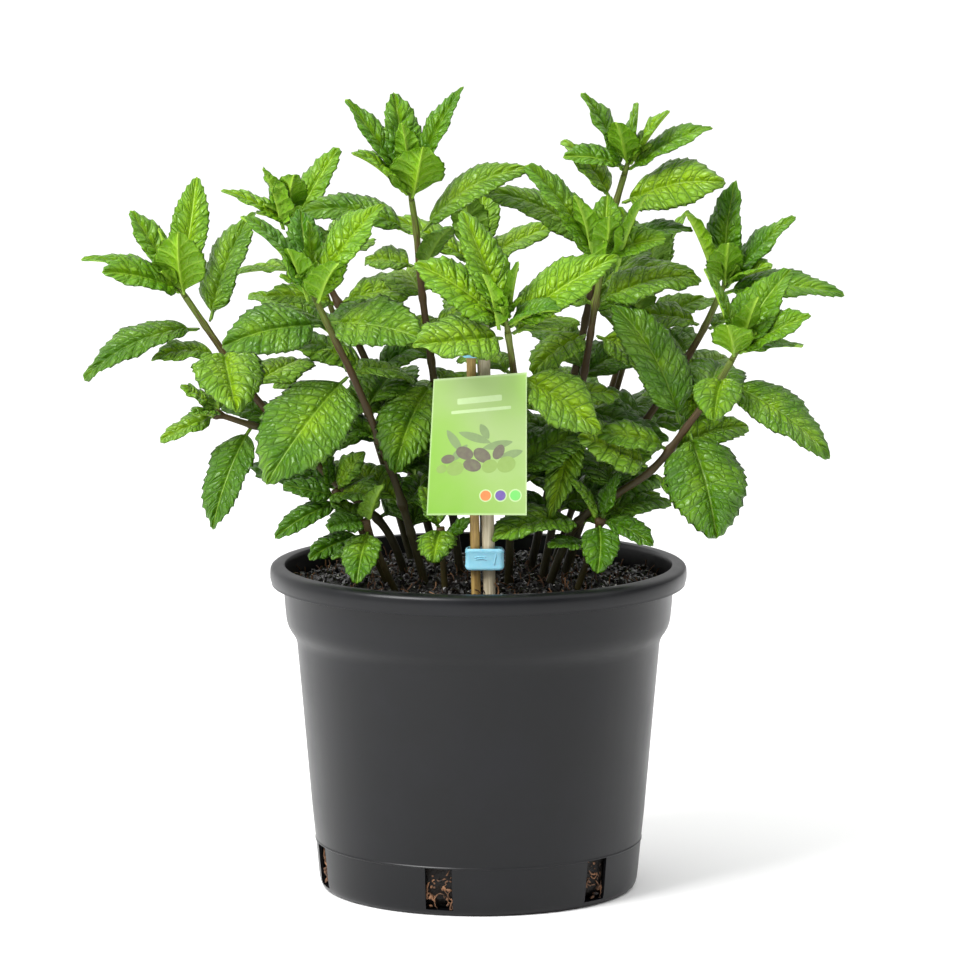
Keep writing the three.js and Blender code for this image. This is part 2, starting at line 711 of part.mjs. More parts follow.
for (const [name, { stem, leaves }] of Object.entries(SPRIGS)) {
  const { path, geometry } = stemGeometry(stem, SPRIG_RADIUS, SPRIG_RADIUS - 0.3, SPRIG_STEPS);
  let whole = clearOf(solidOf(geometry), Object.values(stemRoom));
  place(whole, name);
  for (const [share, leaf] of leaves) {
    whole = join(whole, growLeaf(foot(path, Math.min(share, 0.98), leaf, 0.5), leaf, [name]), name);
  }
  parts[name] = whole;
  const deeper = [[stem[0][0], stem[0][1], stem[0][2] - GAP], ...stem.slice(1)];
  const socketRadius = SPRIG_RADIUS + 1.5 * GAP;
  sockets.push(solidOf(stemGeometry(deeper, socketRadius, socketRadius, SPRIG_STEPS).geometry));
}

// The lower leaves stand in pairs, each a quarter turn from the pair below. They grow where there is still
// air, and are one piece with their stem. On the front shoots none points to the front, so that the view into
// the plant stays open.
for (const [name, { lower, turn }] of Object.entries(SHOOTS)) {
  const path = paths[name];
  const owner = "stem_" + name;
  let whole = parts[owner];
  lower.forEach((height, k) => {
    const share = shareAtHeight(path, height);
    const middle = path.getPointAt(share);
    for (const side of [0, 180]) {
      const azimuth = radians(turn + 90 * k + side);
      if (Math.sin(azimuth) < -0.4 && middle.y < 15) continue;
      const length = LOWER_LEAF * (1 - 0.1 * ((k * 7 + side / 60) % 4));
      const reach = new THREE.Vector3(Math.cos(azimuth), Math.sin(azimuth), 0.15 + 0.1 * (k % 3));
      const tip = middle.clone().addScaledVector(reach.normalize(), length);
      const leaf = [...tip.toArray(), 0.56 * length, 35 + 5 * (k % 3), 0.5];
      whole = join(whole, growLeaf(foot(path, share, leaf, 0.6), leaf, [owner]), owner);
    }
  });
  parts[owner] = whole;
}

parts.potting_mix = soilSolid(sockets);

// ---- Finish ----
const FINISHES = {
  pot: { color: "#2c2d31", roughness: 0.5, metalness: 0 },
  potting_mix: { color: "#2a2019", roughness: 1, metalness: 0 },
  cane_slim: { color: "#7e6f41", roughness: 0.6, metalness: 0 },
  cane_stout: { color: "#7d765a", roughness: 0.65, metalness: 0 },
  clip: { color: "#8cc3d0", roughness: 0.45, metalness: 0 },
  label: { color: "#a9cf74", roughness: 0.4, metalness: 0 },
  stem: { color: "#5f5130", roughness: 0.6, metalness: 0 },
  crown: { color: "#6f9a36", roughness: 0.5, metalness: 0 },
  leaves: { color: "#33622f", roughness: 0.5, metalness: 0 },
  sprig: { color: "#3f7331", roughness: 0.5, metalness: 0 },
  shoot: { color: "#33622f", roughness: 0.5, metalness: 0 },
};
const finishFor = (name) => FINISHES[name] ?? FINISHES[name.split("_")[0]];

const group = new THREE.Group();
group.name = "potted_mint";
for (const [name, solid] of Object.entries(parts)) {
  const mesh = new THREE.Mesh(geometryOf(solid), new THREE.MeshStandardMaterial(finishFor(name)));
  mesh.name = name;
  group.add(mesh);
}

export default group;
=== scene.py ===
# %% [markdown]
# # A mint plant in a nursery pot
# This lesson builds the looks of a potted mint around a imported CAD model. The CAD model gives the place and
# size of every piece: the pot, the potting mix, two canes with clips, a label, and the shoots with their
# leaves. Here each plain solid is replaced by a detailed mesh, and each mesh gets a procedural material.
#
# The camera comes first, so that each later step can be judged through it. It stands 2.6 m in front and a
# little above, with a long lens, as for a catalogue picture.

# %% Load the CAD frame and set the camera
import math

import bmesh
import bpy
import numpy as np
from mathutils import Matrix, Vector


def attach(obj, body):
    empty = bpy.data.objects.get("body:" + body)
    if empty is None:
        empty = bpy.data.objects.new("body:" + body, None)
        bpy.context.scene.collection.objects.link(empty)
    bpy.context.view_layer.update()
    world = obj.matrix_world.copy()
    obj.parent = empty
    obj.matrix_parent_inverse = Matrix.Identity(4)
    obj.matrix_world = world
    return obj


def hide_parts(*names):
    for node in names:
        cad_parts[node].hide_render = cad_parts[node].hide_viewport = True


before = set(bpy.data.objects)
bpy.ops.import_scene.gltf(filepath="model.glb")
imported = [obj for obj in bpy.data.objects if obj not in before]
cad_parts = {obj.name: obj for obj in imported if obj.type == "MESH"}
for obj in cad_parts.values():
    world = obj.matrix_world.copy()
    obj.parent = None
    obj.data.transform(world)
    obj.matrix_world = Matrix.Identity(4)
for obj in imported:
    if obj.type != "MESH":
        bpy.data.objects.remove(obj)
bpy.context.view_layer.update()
scene = bpy.context.scene
MM = 0.001

camera_data = bpy.data.cameras.new("camera")
camera_data.sensor_width = 36
camera_data.lens = 216.6
camera = bpy.data.objects.new("camera", camera_data)
camera.location = (0.0007, -2.6, 0.5685)
camera.rotation_euler = (math.radians(81.65), 0, 0)
scene.collection.objects.link(camera)
scene.camera = camera

# %% [markdown]
# ## Helpers for materials
# A material is a small graph. One function adds a node with its settings and links, so that each graph
# below reads as a list of what is done to the colour. Colours are written as sRGB hex values, as a paint
# chart gives them, and one function turns them into the linear values that Blender works in.

# %% Helpers for materials
def linear(hex_colour):
    channels = [int(hex_colour[i : i + 2], 16) / 255 for i in (1, 3, 5)]
    return [c / 12.92 if c <= 0.04045 else ((c + 0.055) / 1.055) ** 2.4 for c in channels] + [1.0]


def plug(node, **links):
    """Sets or links a node's inputs, by name or number. A node given as a value is its first output."""
    for key, value in links.items():
        socket = node.inputs[int(key[1:])] if key[1:].isdigit() else node.inputs[key.replace("_", " ")]
        if isinstance(value, bpy.types.Node):
            value = next(output for output in value.outputs if output.enabled)
        if isinstance(value, bpy.types.NodeSocket):
            node.id_data.links.new(value, socket)
        else:
            socket.default_value = value


def add(tree, kind, settings=None, **links):
    """Adds a node with its settings and its inputs. A kind that isn't written in full is a shader node."""
    node = tree.nodes.new(kind if "Node" in kind else "ShaderNode" + kind)
    for key, value in (settings or {}).items():
        setattr(node, key, value)
    plug(node, **links)
    return node


def new_material(name, **shader):
    """A material with a Principled shader; the values given are set on the shader's own sockets."""
    material = bpy.data.materials.new(name)
    material.use_nodes = True
    tree = material.node_tree
    principled = tree.nodes["Principled BSDF"]
    plug(principled, **shader)
    return material, tree, principled


def set_stops(ramp, stops):
    """Gives a colour ramp its (position, hex colour) stops."""
    while len(ramp.elements) < len(stops):
        ramp.elements.new(0.5)
    for element, (position, colour) in zip(ramp.elements, stops):
        element.position = position
        element.color = linear(colour)


def carried(tree, name):
    """The three numbers that each point of the mesh carries under this name."""
    attribute = add(tree, "Attribute", {"attribute_name": name})
    return add(tree, "SeparateXYZ", i0=attribute.outputs["Vector"]).outputs


print("white in linear:", linear("#ffffff")[:3])

# %% [markdown]
# ## Helpers for meshes
# Leaves, stems and canes are all skins over rings or grids of points, so numpy works the points out and one
# function makes the object. Every object stays at the origin with its place in its mesh, as the CAD nodes do.
# Values that a material needs at a point, such as how far across a leaf it lies, go along as attributes.

# %% Helpers for meshes
class Skin:
    """Points in millimetres, with faces, a material number for each face, and attributes for each point."""

    def __init__(self):
        self.points, self.faces, self.slots = [], [], []
        self.attributes = {}
        self.count = 0

    def join(self, points, faces, slot, **attributes):
        points = np.asarray(points, float)
        for name in set(attributes) | set(self.attributes):
            done = self.attributes.setdefault(name, [np.zeros((self.count, 3))] if self.count else [])
            done.append(np.broadcast_to(attributes.get(name, (0.0, 0.0, 0.0)), (len(points), 3)))
        self.faces += [tuple(int(i) + self.count for i in face) for face in faces]
        self.slots += [slot] * len(faces)
        self.points.append(points)
        self.count += len(points)

    def make(self, name, materials, smooth=True):
        mesh = bpy.data.meshes.new(name)
        mesh.from_pydata((np.concatenate(self.points) * MM).tolist(), [], self.faces)
        for material in materials:
            mesh.materials.append(material)
        mesh.polygons.foreach_set("material_index", self.slots)
        mesh.polygons.foreach_set("use_smooth", [smooth] * len(self.faces))
        for key, blocks in self.attributes.items():
            layer = mesh.attributes.new(key, "FLOAT_VECTOR", "POINT")
            layer.data.foreach_set("vector", np.concatenate(blocks).ravel())
        mesh.update()
        made = bpy.data.objects.new(name, mesh)
        scene.collection.objects.link(made)
        return made


def unit(v):
    v = np.asarray(v, float)
    return v / np.linalg.norm(v, axis=-1, keepdims=True)


def tube(path, radii, sides=10, turn=0.0, squareness=0.0):
    """Rings round a path, closed by a point at each end. Squareness makes the round section a square one."""
    path = np.asarray(path, float)
    along = unit(np.gradient(path, axis=0))
    across = unit(np.cross(along, [0.03, -1.0, 0.02]))
    third = np.cross(along, across)
    angle = np.arange(sides) / sides * 2 * math.pi + turn
    bulge = 1 + squareness * np.cos(4 * (angle - turn)) * 0.5
    circle = np.stack([np.cos(angle) * bulge, np.sin(angle) * bulge])
    radii = np.broadcast_to(radii, len(path))
    rings = path[:, None] + radii[:, None, None] * (
        circle[0][:, None] * across[:, None] + circle[1][:, None] * third[:, None]
    )
    points = np.concatenate(
        [rings.reshape(-1, 3), path[:1] - along[:1] * 0.02, path[-1:] + along[-1:] * 0.02]
    )
    faces = []
    for k in range(len(path) - 1):
        for i in range(sides):
            j = (i + 1) % sides
            faces.append((k * sides + i, k * sides + j, (k + 1) * sides + j, (k + 1) * sides + i))
    first, last = len(path) * sides, len(path) * sides + 1
    for i in range(sides):
        j = (i + 1) % sides
        faces.append((first, j, i))
        faces.append((last, (len(path) - 1) * sides + i, (len(path) - 1) * sides + j))
    return points, faces


def finish(piece, slot, *nodes):
    """The piece rides on the plant's only body and stands for these CAD nodes; the slot is not used."""
    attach(piece, "root")
    if nodes:
        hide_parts(*nodes)


print("helpers ready")

# %% [markdown]
# ## Reading the leaves out of the CAD model
# The CAD model has each leaf as a coarse closed solid: from the tip back, its blade has sections of four
# points, which are an edge, the upper side, the other edge and the lower side. The leaf could be placed by
# repeating the model's whole plan here, but the solids themselves already hold it, after every turn that a
# leaf made to keep clear of its neighbours. So this step walks back from each tip over two sections. Three
# points of the midrib give its arc, and the first sections give the width, the fold and which way is up.

# %% Read the leaves of a CAD node
CAD_LEAF_THICK = 0.9
# place along the leaf and share of the full width, from the tip back
SECTIONS = [(0.1 + 0.9 * 0.78, 0.68), (0.1 + 0.9 * 0.46, 1.0)]


def mesh_graph(node):
    """The node's points in millimetres with their neighbours; points that coincide are one."""
    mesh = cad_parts[node].data
    found = {}
    same = [found.setdefault(tuple(round(c / MM, 2) for c in v.co), len(found)) for v in mesh.vertices]
    points = np.array(list(found))
    links = [set() for _ in found]
    for face in mesh.polygons:
        corners = [same[i] for i in face.vertices]
        for a, b in zip(corners, corners[1:] + corners[:1]):
            if a != b:
                links[a].add(b)
                links[b].add(a)
    return points, links


def blade_section(points, candidates):
    """The four candidates that make a blade's section: an edge, a face, the other edge, the other face."""
    best = None
    c = sorted(candidates)
    for i in c:
        for j in c:
            if j <= i or abs(np.linalg.norm(points[i] - points[j]) - CAD_LEAF_THICK) > 0.03:
                continue
            middle = (points[i] + points[j]) / 2
            for p in c:
                for q in c:
                    if q <= p or {p, q} & {i, j} or np.linalg.norm(points[p] - points[q]) < 4:
                        continue
                    skew = abs(np.linalg.norm(points[p] - middle) - np.linalg.norm(points[q] - middle))
                    if skew < 0.05 and (best is None or skew < best[0]):
                        best = (skew, p, i, q, j)
    return best and best[1:]


def read_leaves(node, root):
    """The node's leaves: tip, direction and upper side there, the midrib's turn, length and width.

    Root is where a leaf starts when its lower part is buried in its neighbours.
    """
    points, links = mesh_graph(node)
    leaves = []
    for tip, around_tip in enumerate(links):
        section = blade_section(points, around_tip) if len(around_tip) == 4 else None
        if not section:
            continue
        edge_a, face_a, edge_b, face_b = points[list(section)]
        middle = (face_a + face_b) / 2
        edges = (edge_a + edge_b) / 2
        up = unit(face_a - face_b)
        if np.dot(edges - middle, up) < 0:
            up = -up
        end = points[tip]
        around = set().union(*(links[k] for k in section)) - set(section) - {tip}
        second = blade_section(points, around)
        width = np.linalg.norm(edge_a - edge_b) / SECTIONS[0][1]
        if second:
            other = points[list(second)]
            far = (other[1] + other[3]) / 2
            width = np.linalg.norm(other[0] - other[2])
            a, b = end - far, middle - far
            normal = np.cross(a, b)
            bulge = unit(np.cross(normal, a)) if np.linalg.norm(normal) > 1e-6 else up
            inscribed = math.acos(np.clip(np.dot(unit(end - middle), unit(far - middle)), -1, 1))
            swept = 2 * (math.pi - inscribed)
            turn = swept / (1 - SECTIONS[1][0])
            sign = 1 if np.dot(bulge, up) > 0 else -1
            length = np.linalg.norm(a) / (2 * math.sin(swept / 2)) * turn if swept > 1e-3 else (
                np.linalg.norm(a) / (1 - SECTIONS[1][0])
            )
            turn *= sign
            tangent = unit(a)
            half = swept / 2 * sign
            bulge_up = unit(up - np.dot(up, tangent) * tangent)
            end_tangent = math.cos(half) * tangent - math.sin(half) * bulge_up
            end_up = math.cos(half) * bulge_up + math.sin(half) * tangent
        else:
            turn = 0.3
            length = np.linalg.norm(end - root)
            tangent = unit(end - root)
            end_tangent = tangent
            end_up = unit(up - np.dot(up, tangent) * tangent)
        leaves.append(
            {"tip": end, "along": end_tangent, "up": end_up, "turn": turn, "length": length, "width": width}
        )
    return sorted(leaves, key=lambda leaf: np.round(leaf["tip"], 1).tolist())


sample = read_leaves("leaves_front_left_2", np.zeros(3))
print("a pair's leaves:", [(round(leaf["length"], 1), round(leaf["width"], 1)) for leaf in sample])

# %% [markdown]
# ## One mint leaf
# A mint leaf is an oval blade on a short stalk, with a toothed edge. Its side veins leave the midrib at an
# angle and run forward to the edge, and the blade swells between them, which is what makes mint look
# quilted. Sculpting a hundred such leaves would take days, so the blade is a grid of points: the rows run
# along the midrib, five to a tooth, and the columns run across. Each rule then moves the points: the
# outline, the teeth, the swelling between the veins, a twist and a wavy edge. Young leaves are flatter and
# smoother, so the rules take the leaf's age.

# %% One mint leaf
OUTLINE = np.array([
    # along the blade, share of the full width
    [0.0, 0.10], [0.03, 0.34], [0.08, 0.62], [0.15, 0.84], [0.25, 0.96], [0.36, 1.0], [0.48, 0.985],
    [0.6, 0.91], [0.72, 0.76], [0.82, 0.56], [0.9, 0.36], [0.96, 0.17], [1.0, 0.0],
])
FINE = np.array([0, 0.045, 0.11, 0.19, 0.29, 0.4, 0.51, 0.63, 0.75, 0.88, 1.0])
COARSE = np.array([0, 0.09, 0.22, 0.4, 0.6, 0.8, 1.0])
STALK_SHARE = 0.1
STALK_HALF = 0.75
VEIN_SLOPE = 0.2
TOOTH_RISE = 0.79  # share of a tooth on its long back; the rest is its steep front
STRAIGHT = 0.01  # a midrib that turns less than this counts as straight
rng = np.random.default_rng(11)


def midrib_arc(leaf):
    """The turn and the radius of a leaf's midrib."""
    turn = leaf["turn"] if abs(leaf["turn"]) > STRAIGHT else STRAIGHT
    return turn, leaf["length"] / turn


def leaf_grid(leaf, age):
    """Points of both sides of a leaf, the faces between them, and what the material needs at each point."""
    length, width = leaf["length"], leaf["width"]
    fine = length > 26
    blade_length = length * (1 - STALK_SHARE)
    teeth = int(np.clip(round(blade_length / 4.0), 6, 13))
    per_tooth = 5 if fine else 4
    half_columns = FINE if fine else COARSE
    t = np.concatenate([-half_columns[:0:-1], half_columns])
    s = np.concatenate([np.linspace(-0.11, -0.02, 4), np.linspace(0, 1, teeth * per_tooth + 1)])
    S, T = np.meshgrid(s, t, indexing="ij")
    blade = S >= 0

    half = np.interp(S, OUTLINE[:, 0], OUTLINE[:, 1]) * width / 2
    half = np.where(blade, np.maximum(half, np.where(S < 0.97, STALK_HALF, 0)), STALK_HALF)
    tooth_phase = (S * teeth) % 1.0
    tooth = np.where(tooth_phase < TOOTH_RISE, tooth_phase / TOOTH_RISE, 0.12)
    tooth = tooth * np.clip(S / 0.12, 0, 1) * np.clip((1 - S) / 0.04, 0, 1)
    rim = np.clip((np.abs(T) - 0.72) / 0.28, 0, 1)
    tooth_height = (0.55 + 0.022 * width) * rng.uniform(0.8, 1.2)
    x = T * half + np.sign(T) * rim * tooth * tooth_height * blade
    forward = rim * tooth * tooth_height * 0.7 * blade

    veins = max(4, round(blade_length / 6.2))
    phase = veins * (S - VEIN_SLOPE * np.abs(T) * (1 - 0.25 * np.abs(T))) + 0.35
    swell = np.abs(np.sin(math.pi * phase)) ** 0.75 - 0.6
    body = np.clip((1 - np.abs(T)) / 0.22, 0, 1) * np.clip(np.abs(T) / 0.09, 0, 1)
    body = body * np.clip((1 - S) / 0.1, 0, 1)
    relief = (0.45 + 0.65 * age) * swell * body * np.clip(S / 0.06, 0, 1)
    relief -= (0.45 + 0.5 * age) * np.exp(-((x / 0.9) ** 2)) * blade * (1 - 0.6 * S)
    fold = rng.uniform(0.08, 0.22) + 0.25 * (1 - age)
    profile = fold * np.abs(x) * (1.25 - 0.55 * T**2) - rng.uniform(0.0, 0.1) * age * width * T**4 * 0.5
    # each half swells between the midrib and the margin, and the margin waves
    profile += rng.uniform(0.02, 0.07) * (0.4 + 0.6 * age) * width * np.sin(math.pi * np.abs(T) ** 0.8)
    for waves, height in ((rng.uniform(1.4, 2.4), 0.05), (rng.uniform(3.2, 4.6), 0.028)):
        wave = np.sin(2 * math.pi * (S * waves + rng.uniform(0, 1) + 0.25 * np.sign(T)))
        profile += rng.uniform(0.4, 1.0) * height * width * wave * T**2 * np.clip(S / 0.1, 0, 1)
    z = np.where(blade, relief + profile, 0)

    # the midrib: the arc of the CAD leaf, with the tip curling a little more
    share = STALK_SHARE + (1 - STALK_SHARE) * S
    turn, radius = midrib_arc(leaf)
    angle = turn * (1 - share)
    along, up = leaf["along"], leaf["up"]
    side = np.cross(along, up)
    back = radius * np.sin(angle)
    rise = radius * (1 - np.cos(angle))
    curl = -rng.uniform(-0.02, 0.07) * length * np.clip(S, 0, 1) ** 3
    sway = rng.uniform(-0.035, 0.035) * length * np.sin(math.pi * np.clip(S, 0, 1))
    centre = leaf["tip"] - back[..., None] * along - (rise - curl)[..., None] * up + sway[..., None] * side
    row_up = np.cos(angle)[..., None] * up - np.sin(angle)[..., None] * along
    row_along = np.cos(angle)[..., None] * along + np.sin(angle)[..., None] * up
    twist = rng.uniform(-0.32, 0.32) * np.clip(S, 0, 1)
    row_side = np.cos(twist)[..., None] * side + np.sin(twist)[..., None] * row_up
    row_up = np.cos(twist)[..., None] * row_up - np.sin(twist)[..., None] * side
    upper = centre + x[..., None] * row_side + z[..., None] * row_up + forward[..., None] * row_along

    rib = np.exp(-((x / 0.85) ** 2)) * (0.95 - 0.7 * np.clip(S, 0, 1))
    thick = np.where(blade, 0.4 + rib, 1.5 * np.sqrt(np.clip(1 - T**2, 0, 1)))
    lower = upper - thick[..., None] * row_up

    rows, columns = S.shape
    index = np.arange(rows * columns).reshape(rows, columns)
    under = index + rows * columns
    under[:, 0], under[:, -1], under[0] = index[:, 0], index[:, -1], index[0]
    index[-1] = under[-1] = index[-1, columns // 2]
    faces = []
    for grid, flip in ((index, False), (under, True)):
        a, b, c, d = grid[:-1, :-1], grid[:-1, 1:], grid[1:, 1:], grid[1:, :-1]
        quads = np.stack([a, d, c, b] if flip else [a, b, c, d], -1).reshape(-1, 4)
        faces += [tuple(dict.fromkeys(q)) for q in quads.tolist() if len(set(q)) > 2]
    points = np.concatenate([upper.reshape(-1, 3), lower.reshape(-1, 3)])
    place = np.stack([T, S, np.zeros_like(S)], -1).reshape(-1, 3)
    place = np.concatenate([place, place + [0, 0, 1]])
    seed = rng.uniform(0, 50)
    millimetres = np.stack([x, S * blade_length, np.full_like(S, seed)], -1).reshape(-1, 3)
    look = np.array([age, rng.uniform(0, 1), float(veins)])
    used = np.unique(np.concatenate([np.array(f) for f in faces]))
    renumber = np.full(len(points), -1)
    renumber[used] = np.arange(len(used))
    faces = [tuple(renumber[list(f)]) for f in faces]
    attributes = {
        "leaf_place": place[used],
        "leaf_mm": np.concatenate([millimetres, millimetres])[used],
        "leaf_look": np.broadcast_to(look, (len(used), 3)),
    }
    return points[used], faces, attributes


points, faces, _ = leaf_grid(sample[0], 1.0)
print("one leaf:", len(points), "points", len(faces), "faces")

# %% [markdown]
# ## Mint leaf material
# What the eye reads on a mint leaf is its network of veins: on the upper side they are creases, and the
# green between them rises in small glossy cushions, about three millimetres across. Modelling each cushion
# would need millions of faces. A Voronoi texture makes such cells, and here it is laid out in the leaf's
# own coordinates, so that the cells follow the side veins from the midrib out. The same pattern drives the
# colour, the gloss and the bump. In the colour, the creases of the upper side are darkened as painted shade.
# The underside is paler and duller, with its veins standing out. The colour also has painted light shining
# through beside the midrib, and painted shade on the leaves low on the plant.

# %% Mint leaf material
# Two of these colours are painted light: the one for the creases is painted shade, and the yellow one used
# beside the midrib is painted light shining through the blade.
def leaf_material(name, crease_shade, cushion, bright, through_light_colour, rib, underside, depth, **shader_values):
    material, tree, shader = new_material(name, **shader_values)
    where = carried(tree, "leaf_place")
    flat = carried(tree, "leaf_mm")
    look = carried(tree, "leaf_look")
    across = add(tree, "Math", {"operation": "ABSOLUTE"}, i0=where[0])
    slope = add(
        tree, "Math", {"operation": "MULTIPLY_ADD"}, i0=across, i1=-0.25 * VEIN_SLOPE, i2=VEIN_SLOPE
    )
    slant = add(tree, "Math", {"operation": "MULTIPLY"}, i0=across, i1=slope)
    phase = add(
        tree, "Math", {"operation": "MULTIPLY_ADD"},
        i0=add(tree, "Math", {"operation": "SUBTRACT"}, i0=where[1], i1=slant), i1=look[2], i2=0.35,
    )
    vein_wave = add(
        tree, "Math", {"operation": "SINE"},
        i0=add(tree, "Math", {"operation": "MULTIPLY"}, i0=phase, i1=math.pi),
    )
    side_vein = add(tree, "Math", {"operation": "ABSOLUTE"}, i0=vein_wave)
    # cells: about four millimetres each way, lined up with the side veins
    cell_place = add(
        tree, "CombineXYZ",
        i0=add(tree, "Math", {"operation": "MULTIPLY"}, i0=phase, i1=1.7),
        i1=add(tree, "Math", {"operation": "DIVIDE"}, i0=flat[0], i1=3.7), i2=flat[2],
    )
    warp = add(tree, "TexNoise", Vector=cell_place, Scale=1.4, Detail=2.0)
    warped = add(
        tree, "VectorMath", {"operation": "MULTIPLY_ADD"},
        i0=warp.outputs["Color"], i1=(0.45, 0.45, 0.0), i2=cell_place,
    )
    cells = add(
        tree, "TexVoronoi", {"feature": "DISTANCE_TO_EDGE"}, Vector=warped, Scale=1.0, Randomness=0.8
    )
    cushion_height = add(tree, "MapRange", Value=cells.outputs["Distance"], From_Min=0.0, From_Max=0.34)
    net_line = add(tree, "MapRange", Value=cells.outputs["Distance"], From_Min=0.06, From_Max=0.01)
    vein_height = add(tree, "MapRange", Value=side_vein, From_Min=0.0, From_Max=0.6)
    vein_line = add(tree, "MapRange", Value=side_vein, From_Min=0.2, From_Max=0.07)
    x_size = add(tree, "Math", {"operation": "ABSOLUTE"}, i0=flat[0])
    rib_height = add(tree, "MapRange", Value=x_size, From_Min=0.15, From_Max=1.4)
    raised = add(
        tree, "Math", {"operation": "MULTIPLY_ADD"},
        i0=add(tree, "Math", {"operation": "POWER"}, i0=cushion_height, i1=0.65), i1=0.8, i2=0.2,
    )
    raised = add(
        tree, "Math", {"operation": "MULTIPLY"},
        i0=raised, i1=add(tree, "Math", {"operation": "MULTIPLY_ADD"}, i0=vein_height, i1=0.75, i2=0.25),
    )
    raised = add(tree, "Math", {"operation": "MULTIPLY"}, i0=raised, i1=rib_height)
    # the network is fainter on young leaves
    ripe = add(
        tree, "Math", {"operation": "MULTIPLY_ADD"},
        i0=look[0], i1=0.3,
        i2=add(tree, "Math", {"operation": "MULTIPLY_ADD"}, i0=look[1], i1=0.35, i2=0.35),
    )
    lines = add(
        tree, "Math", {"operation": "MAXIMUM"},
        i0=add(tree, "Math", {"operation": "MULTIPLY"}, i0=net_line, i1=0.6), i1=vein_line,
    )
    lines = add(tree, "Math", {"operation": "MULTIPLY"}, i0=lines, i1=ripe)
    tone = add(tree, "TexNoise", Vector=add(tree, "TexCoord").outputs["Object"], Scale=60.0, Detail=3.0)
    tone = add(
        tree, "Math", {"operation": "ADD"},
        i0=add(tree, "MapRange", Value=tone, From_Min=0.3, From_Max=0.7, To_Min=-0.3, To_Max=0.3),
        i1=look[1],
    )
    # painted shade: the leaves low on the plant, under the others, are made darker in colour
    level = add(tree, "SeparateXYZ", i0=add(tree, "TexCoord").outputs["Object"]).outputs["Z"]
    tone = add(
        tree, "Math", {"operation": "ADD"},
        i0=tone,
        i1=add(tree, "MapRange", Value=level, From_Min=0.14, From_Max=0.23, To_Min=-0.7, To_Max=0.1),
    )
    green = add(
        tree, "Mix", {"data_type": "RGBA"},
        i0=add(tree, "MapRange", Value=tone, From_Min=0.0, From_Max=1.0), i6=linear(cushion),
        i7=linear(bright),
    )
    # painted light: beside the midrib, where the blade is thin, it is coloured yellower, as light shining
    # through it would look; towards the margin it stays cooler
    painted_through_light = add(
        tree, "Math", {"operation": "MULTIPLY"},
        i0=add(tree, "MapRange", Value=across, From_Min=0.65, From_Max=0.05),
        i1=add(tree, "MapRange", Value=tone, From_Min=0.2, From_Max=0.9),
    )
    green = add(
        tree, "Mix", {"data_type": "RGBA"},
        i0=add(tree, "Math", {"operation": "MULTIPLY"}, i0=painted_through_light, i1=0.8), i6=green, i7=linear(through_light_colour),
    )
    # painted shade: on the upper side the vein lines take the dark crease colour
    upper = add(
        tree, "Mix", {"data_type": "RGBA"},
        i0=add(tree, "Math", {"operation": "MULTIPLY"}, i0=lines, i1=0.75), i6=green, i7=linear(crease_shade),
    )
    rib_line = add(
        tree, "Math", {"operation": "MULTIPLY"},
        i0=add(tree, "MapRange", Value=x_size, From_Min=0.45, From_Max=0.2), i1=0.45,
    )
    upper = add(tree, "Mix", {"data_type": "RGBA"}, i0=rib_line, i6=upper, i7=linear(rib))
    lower_veins = add(
        tree, "Math", {"operation": "MAXIMUM"},
        i0=lines, i1=add(tree, "MapRange", Value=x_size, From_Min=0.9, From_Max=0.4),
    )
    lower = add(
        tree, "Mix", {"data_type": "RGBA"},
        i0=add(tree, "Math", {"operation": "MULTIPLY"}, i0=tone, i1=0.5), i6=linear(underside), i7=green,
    )
    lower = add(
        tree, "Mix", {"data_type": "RGBA"},
        i0=add(tree, "Math", {"operation": "MULTIPLY"}, i0=lower_veins, i1=0.5), i6=lower, i7=linear(rib),
    )
    side = add(tree, "MapRange", Value=where[2], From_Min=0.3, From_Max=0.6)
    plug(shader, Base_Color=add(tree, "Mix", {"data_type": "RGBA"}, i0=side, i6=upper, i7=lower))
    rough = add(
        tree, "Math", {"operation": "MULTIPLY_ADD"}, i0=lines, i1=0.25, i2=shader_values["Roughness"]
    )
    plug(shader, Roughness=add(tree, "Math", {"operation": "MULTIPLY_ADD"}, i0=side, i1=0.12, i2=rough))
    grain = add(tree, "TexNoise", Vector=add(tree, "TexCoord").outputs["Object"], Scale=900.0, Detail=2.0)
    facing = add(tree, "Math", {"operation": "MULTIPLY_ADD"}, i0=side, i1=-1.5, i2=1.0)
    height = add(
        tree, "Math", {"operation": "MULTIPLY_ADD"},
        i0=grain, i1=0.1, i2=add(tree, "Math", {"operation": "MULTIPLY"}, i0=raised, i1=facing),
    )
    plug(shader, Normal=add(tree, "Bump", Strength=1.0, Distance=depth * MM, Height=height))
    return material


MATURE = leaf_material(
    "mint leaf, quilted and waxy",
    crease_shade="#224a00", cushion="#416c08", bright="#719b22", through_light_colour="#8bae10", rib="#86a834", underside="#648a28",
    depth=1.3,
    Roughness=0.34, IOR=1.5, Specular_IOR_Level=0.36,
    Subsurface_Weight=0.06, Subsurface_Radius=(0.5, 1.0, 0.15), Subsurface_Scale=MM,
)
YOUNG = leaf_material(
    "mint leaf, young and thin",
    crease_shade="#2a5800", cushion="#417206", bright="#6c9914", through_light_colour="#88ae0e", rib="#a9c94a", underside="#6a9c12",
    depth=1.2,
    Roughness=0.36, IOR=1.5, Specular_IOR_Level=0.36,
    Subsurface_Weight=0.12, Subsurface_Radius=(0.6, 1.0, 0.1), Subsurface_Scale=MM,
)
print("leaf materials:", MATURE.name, "|", YOUNG.name)
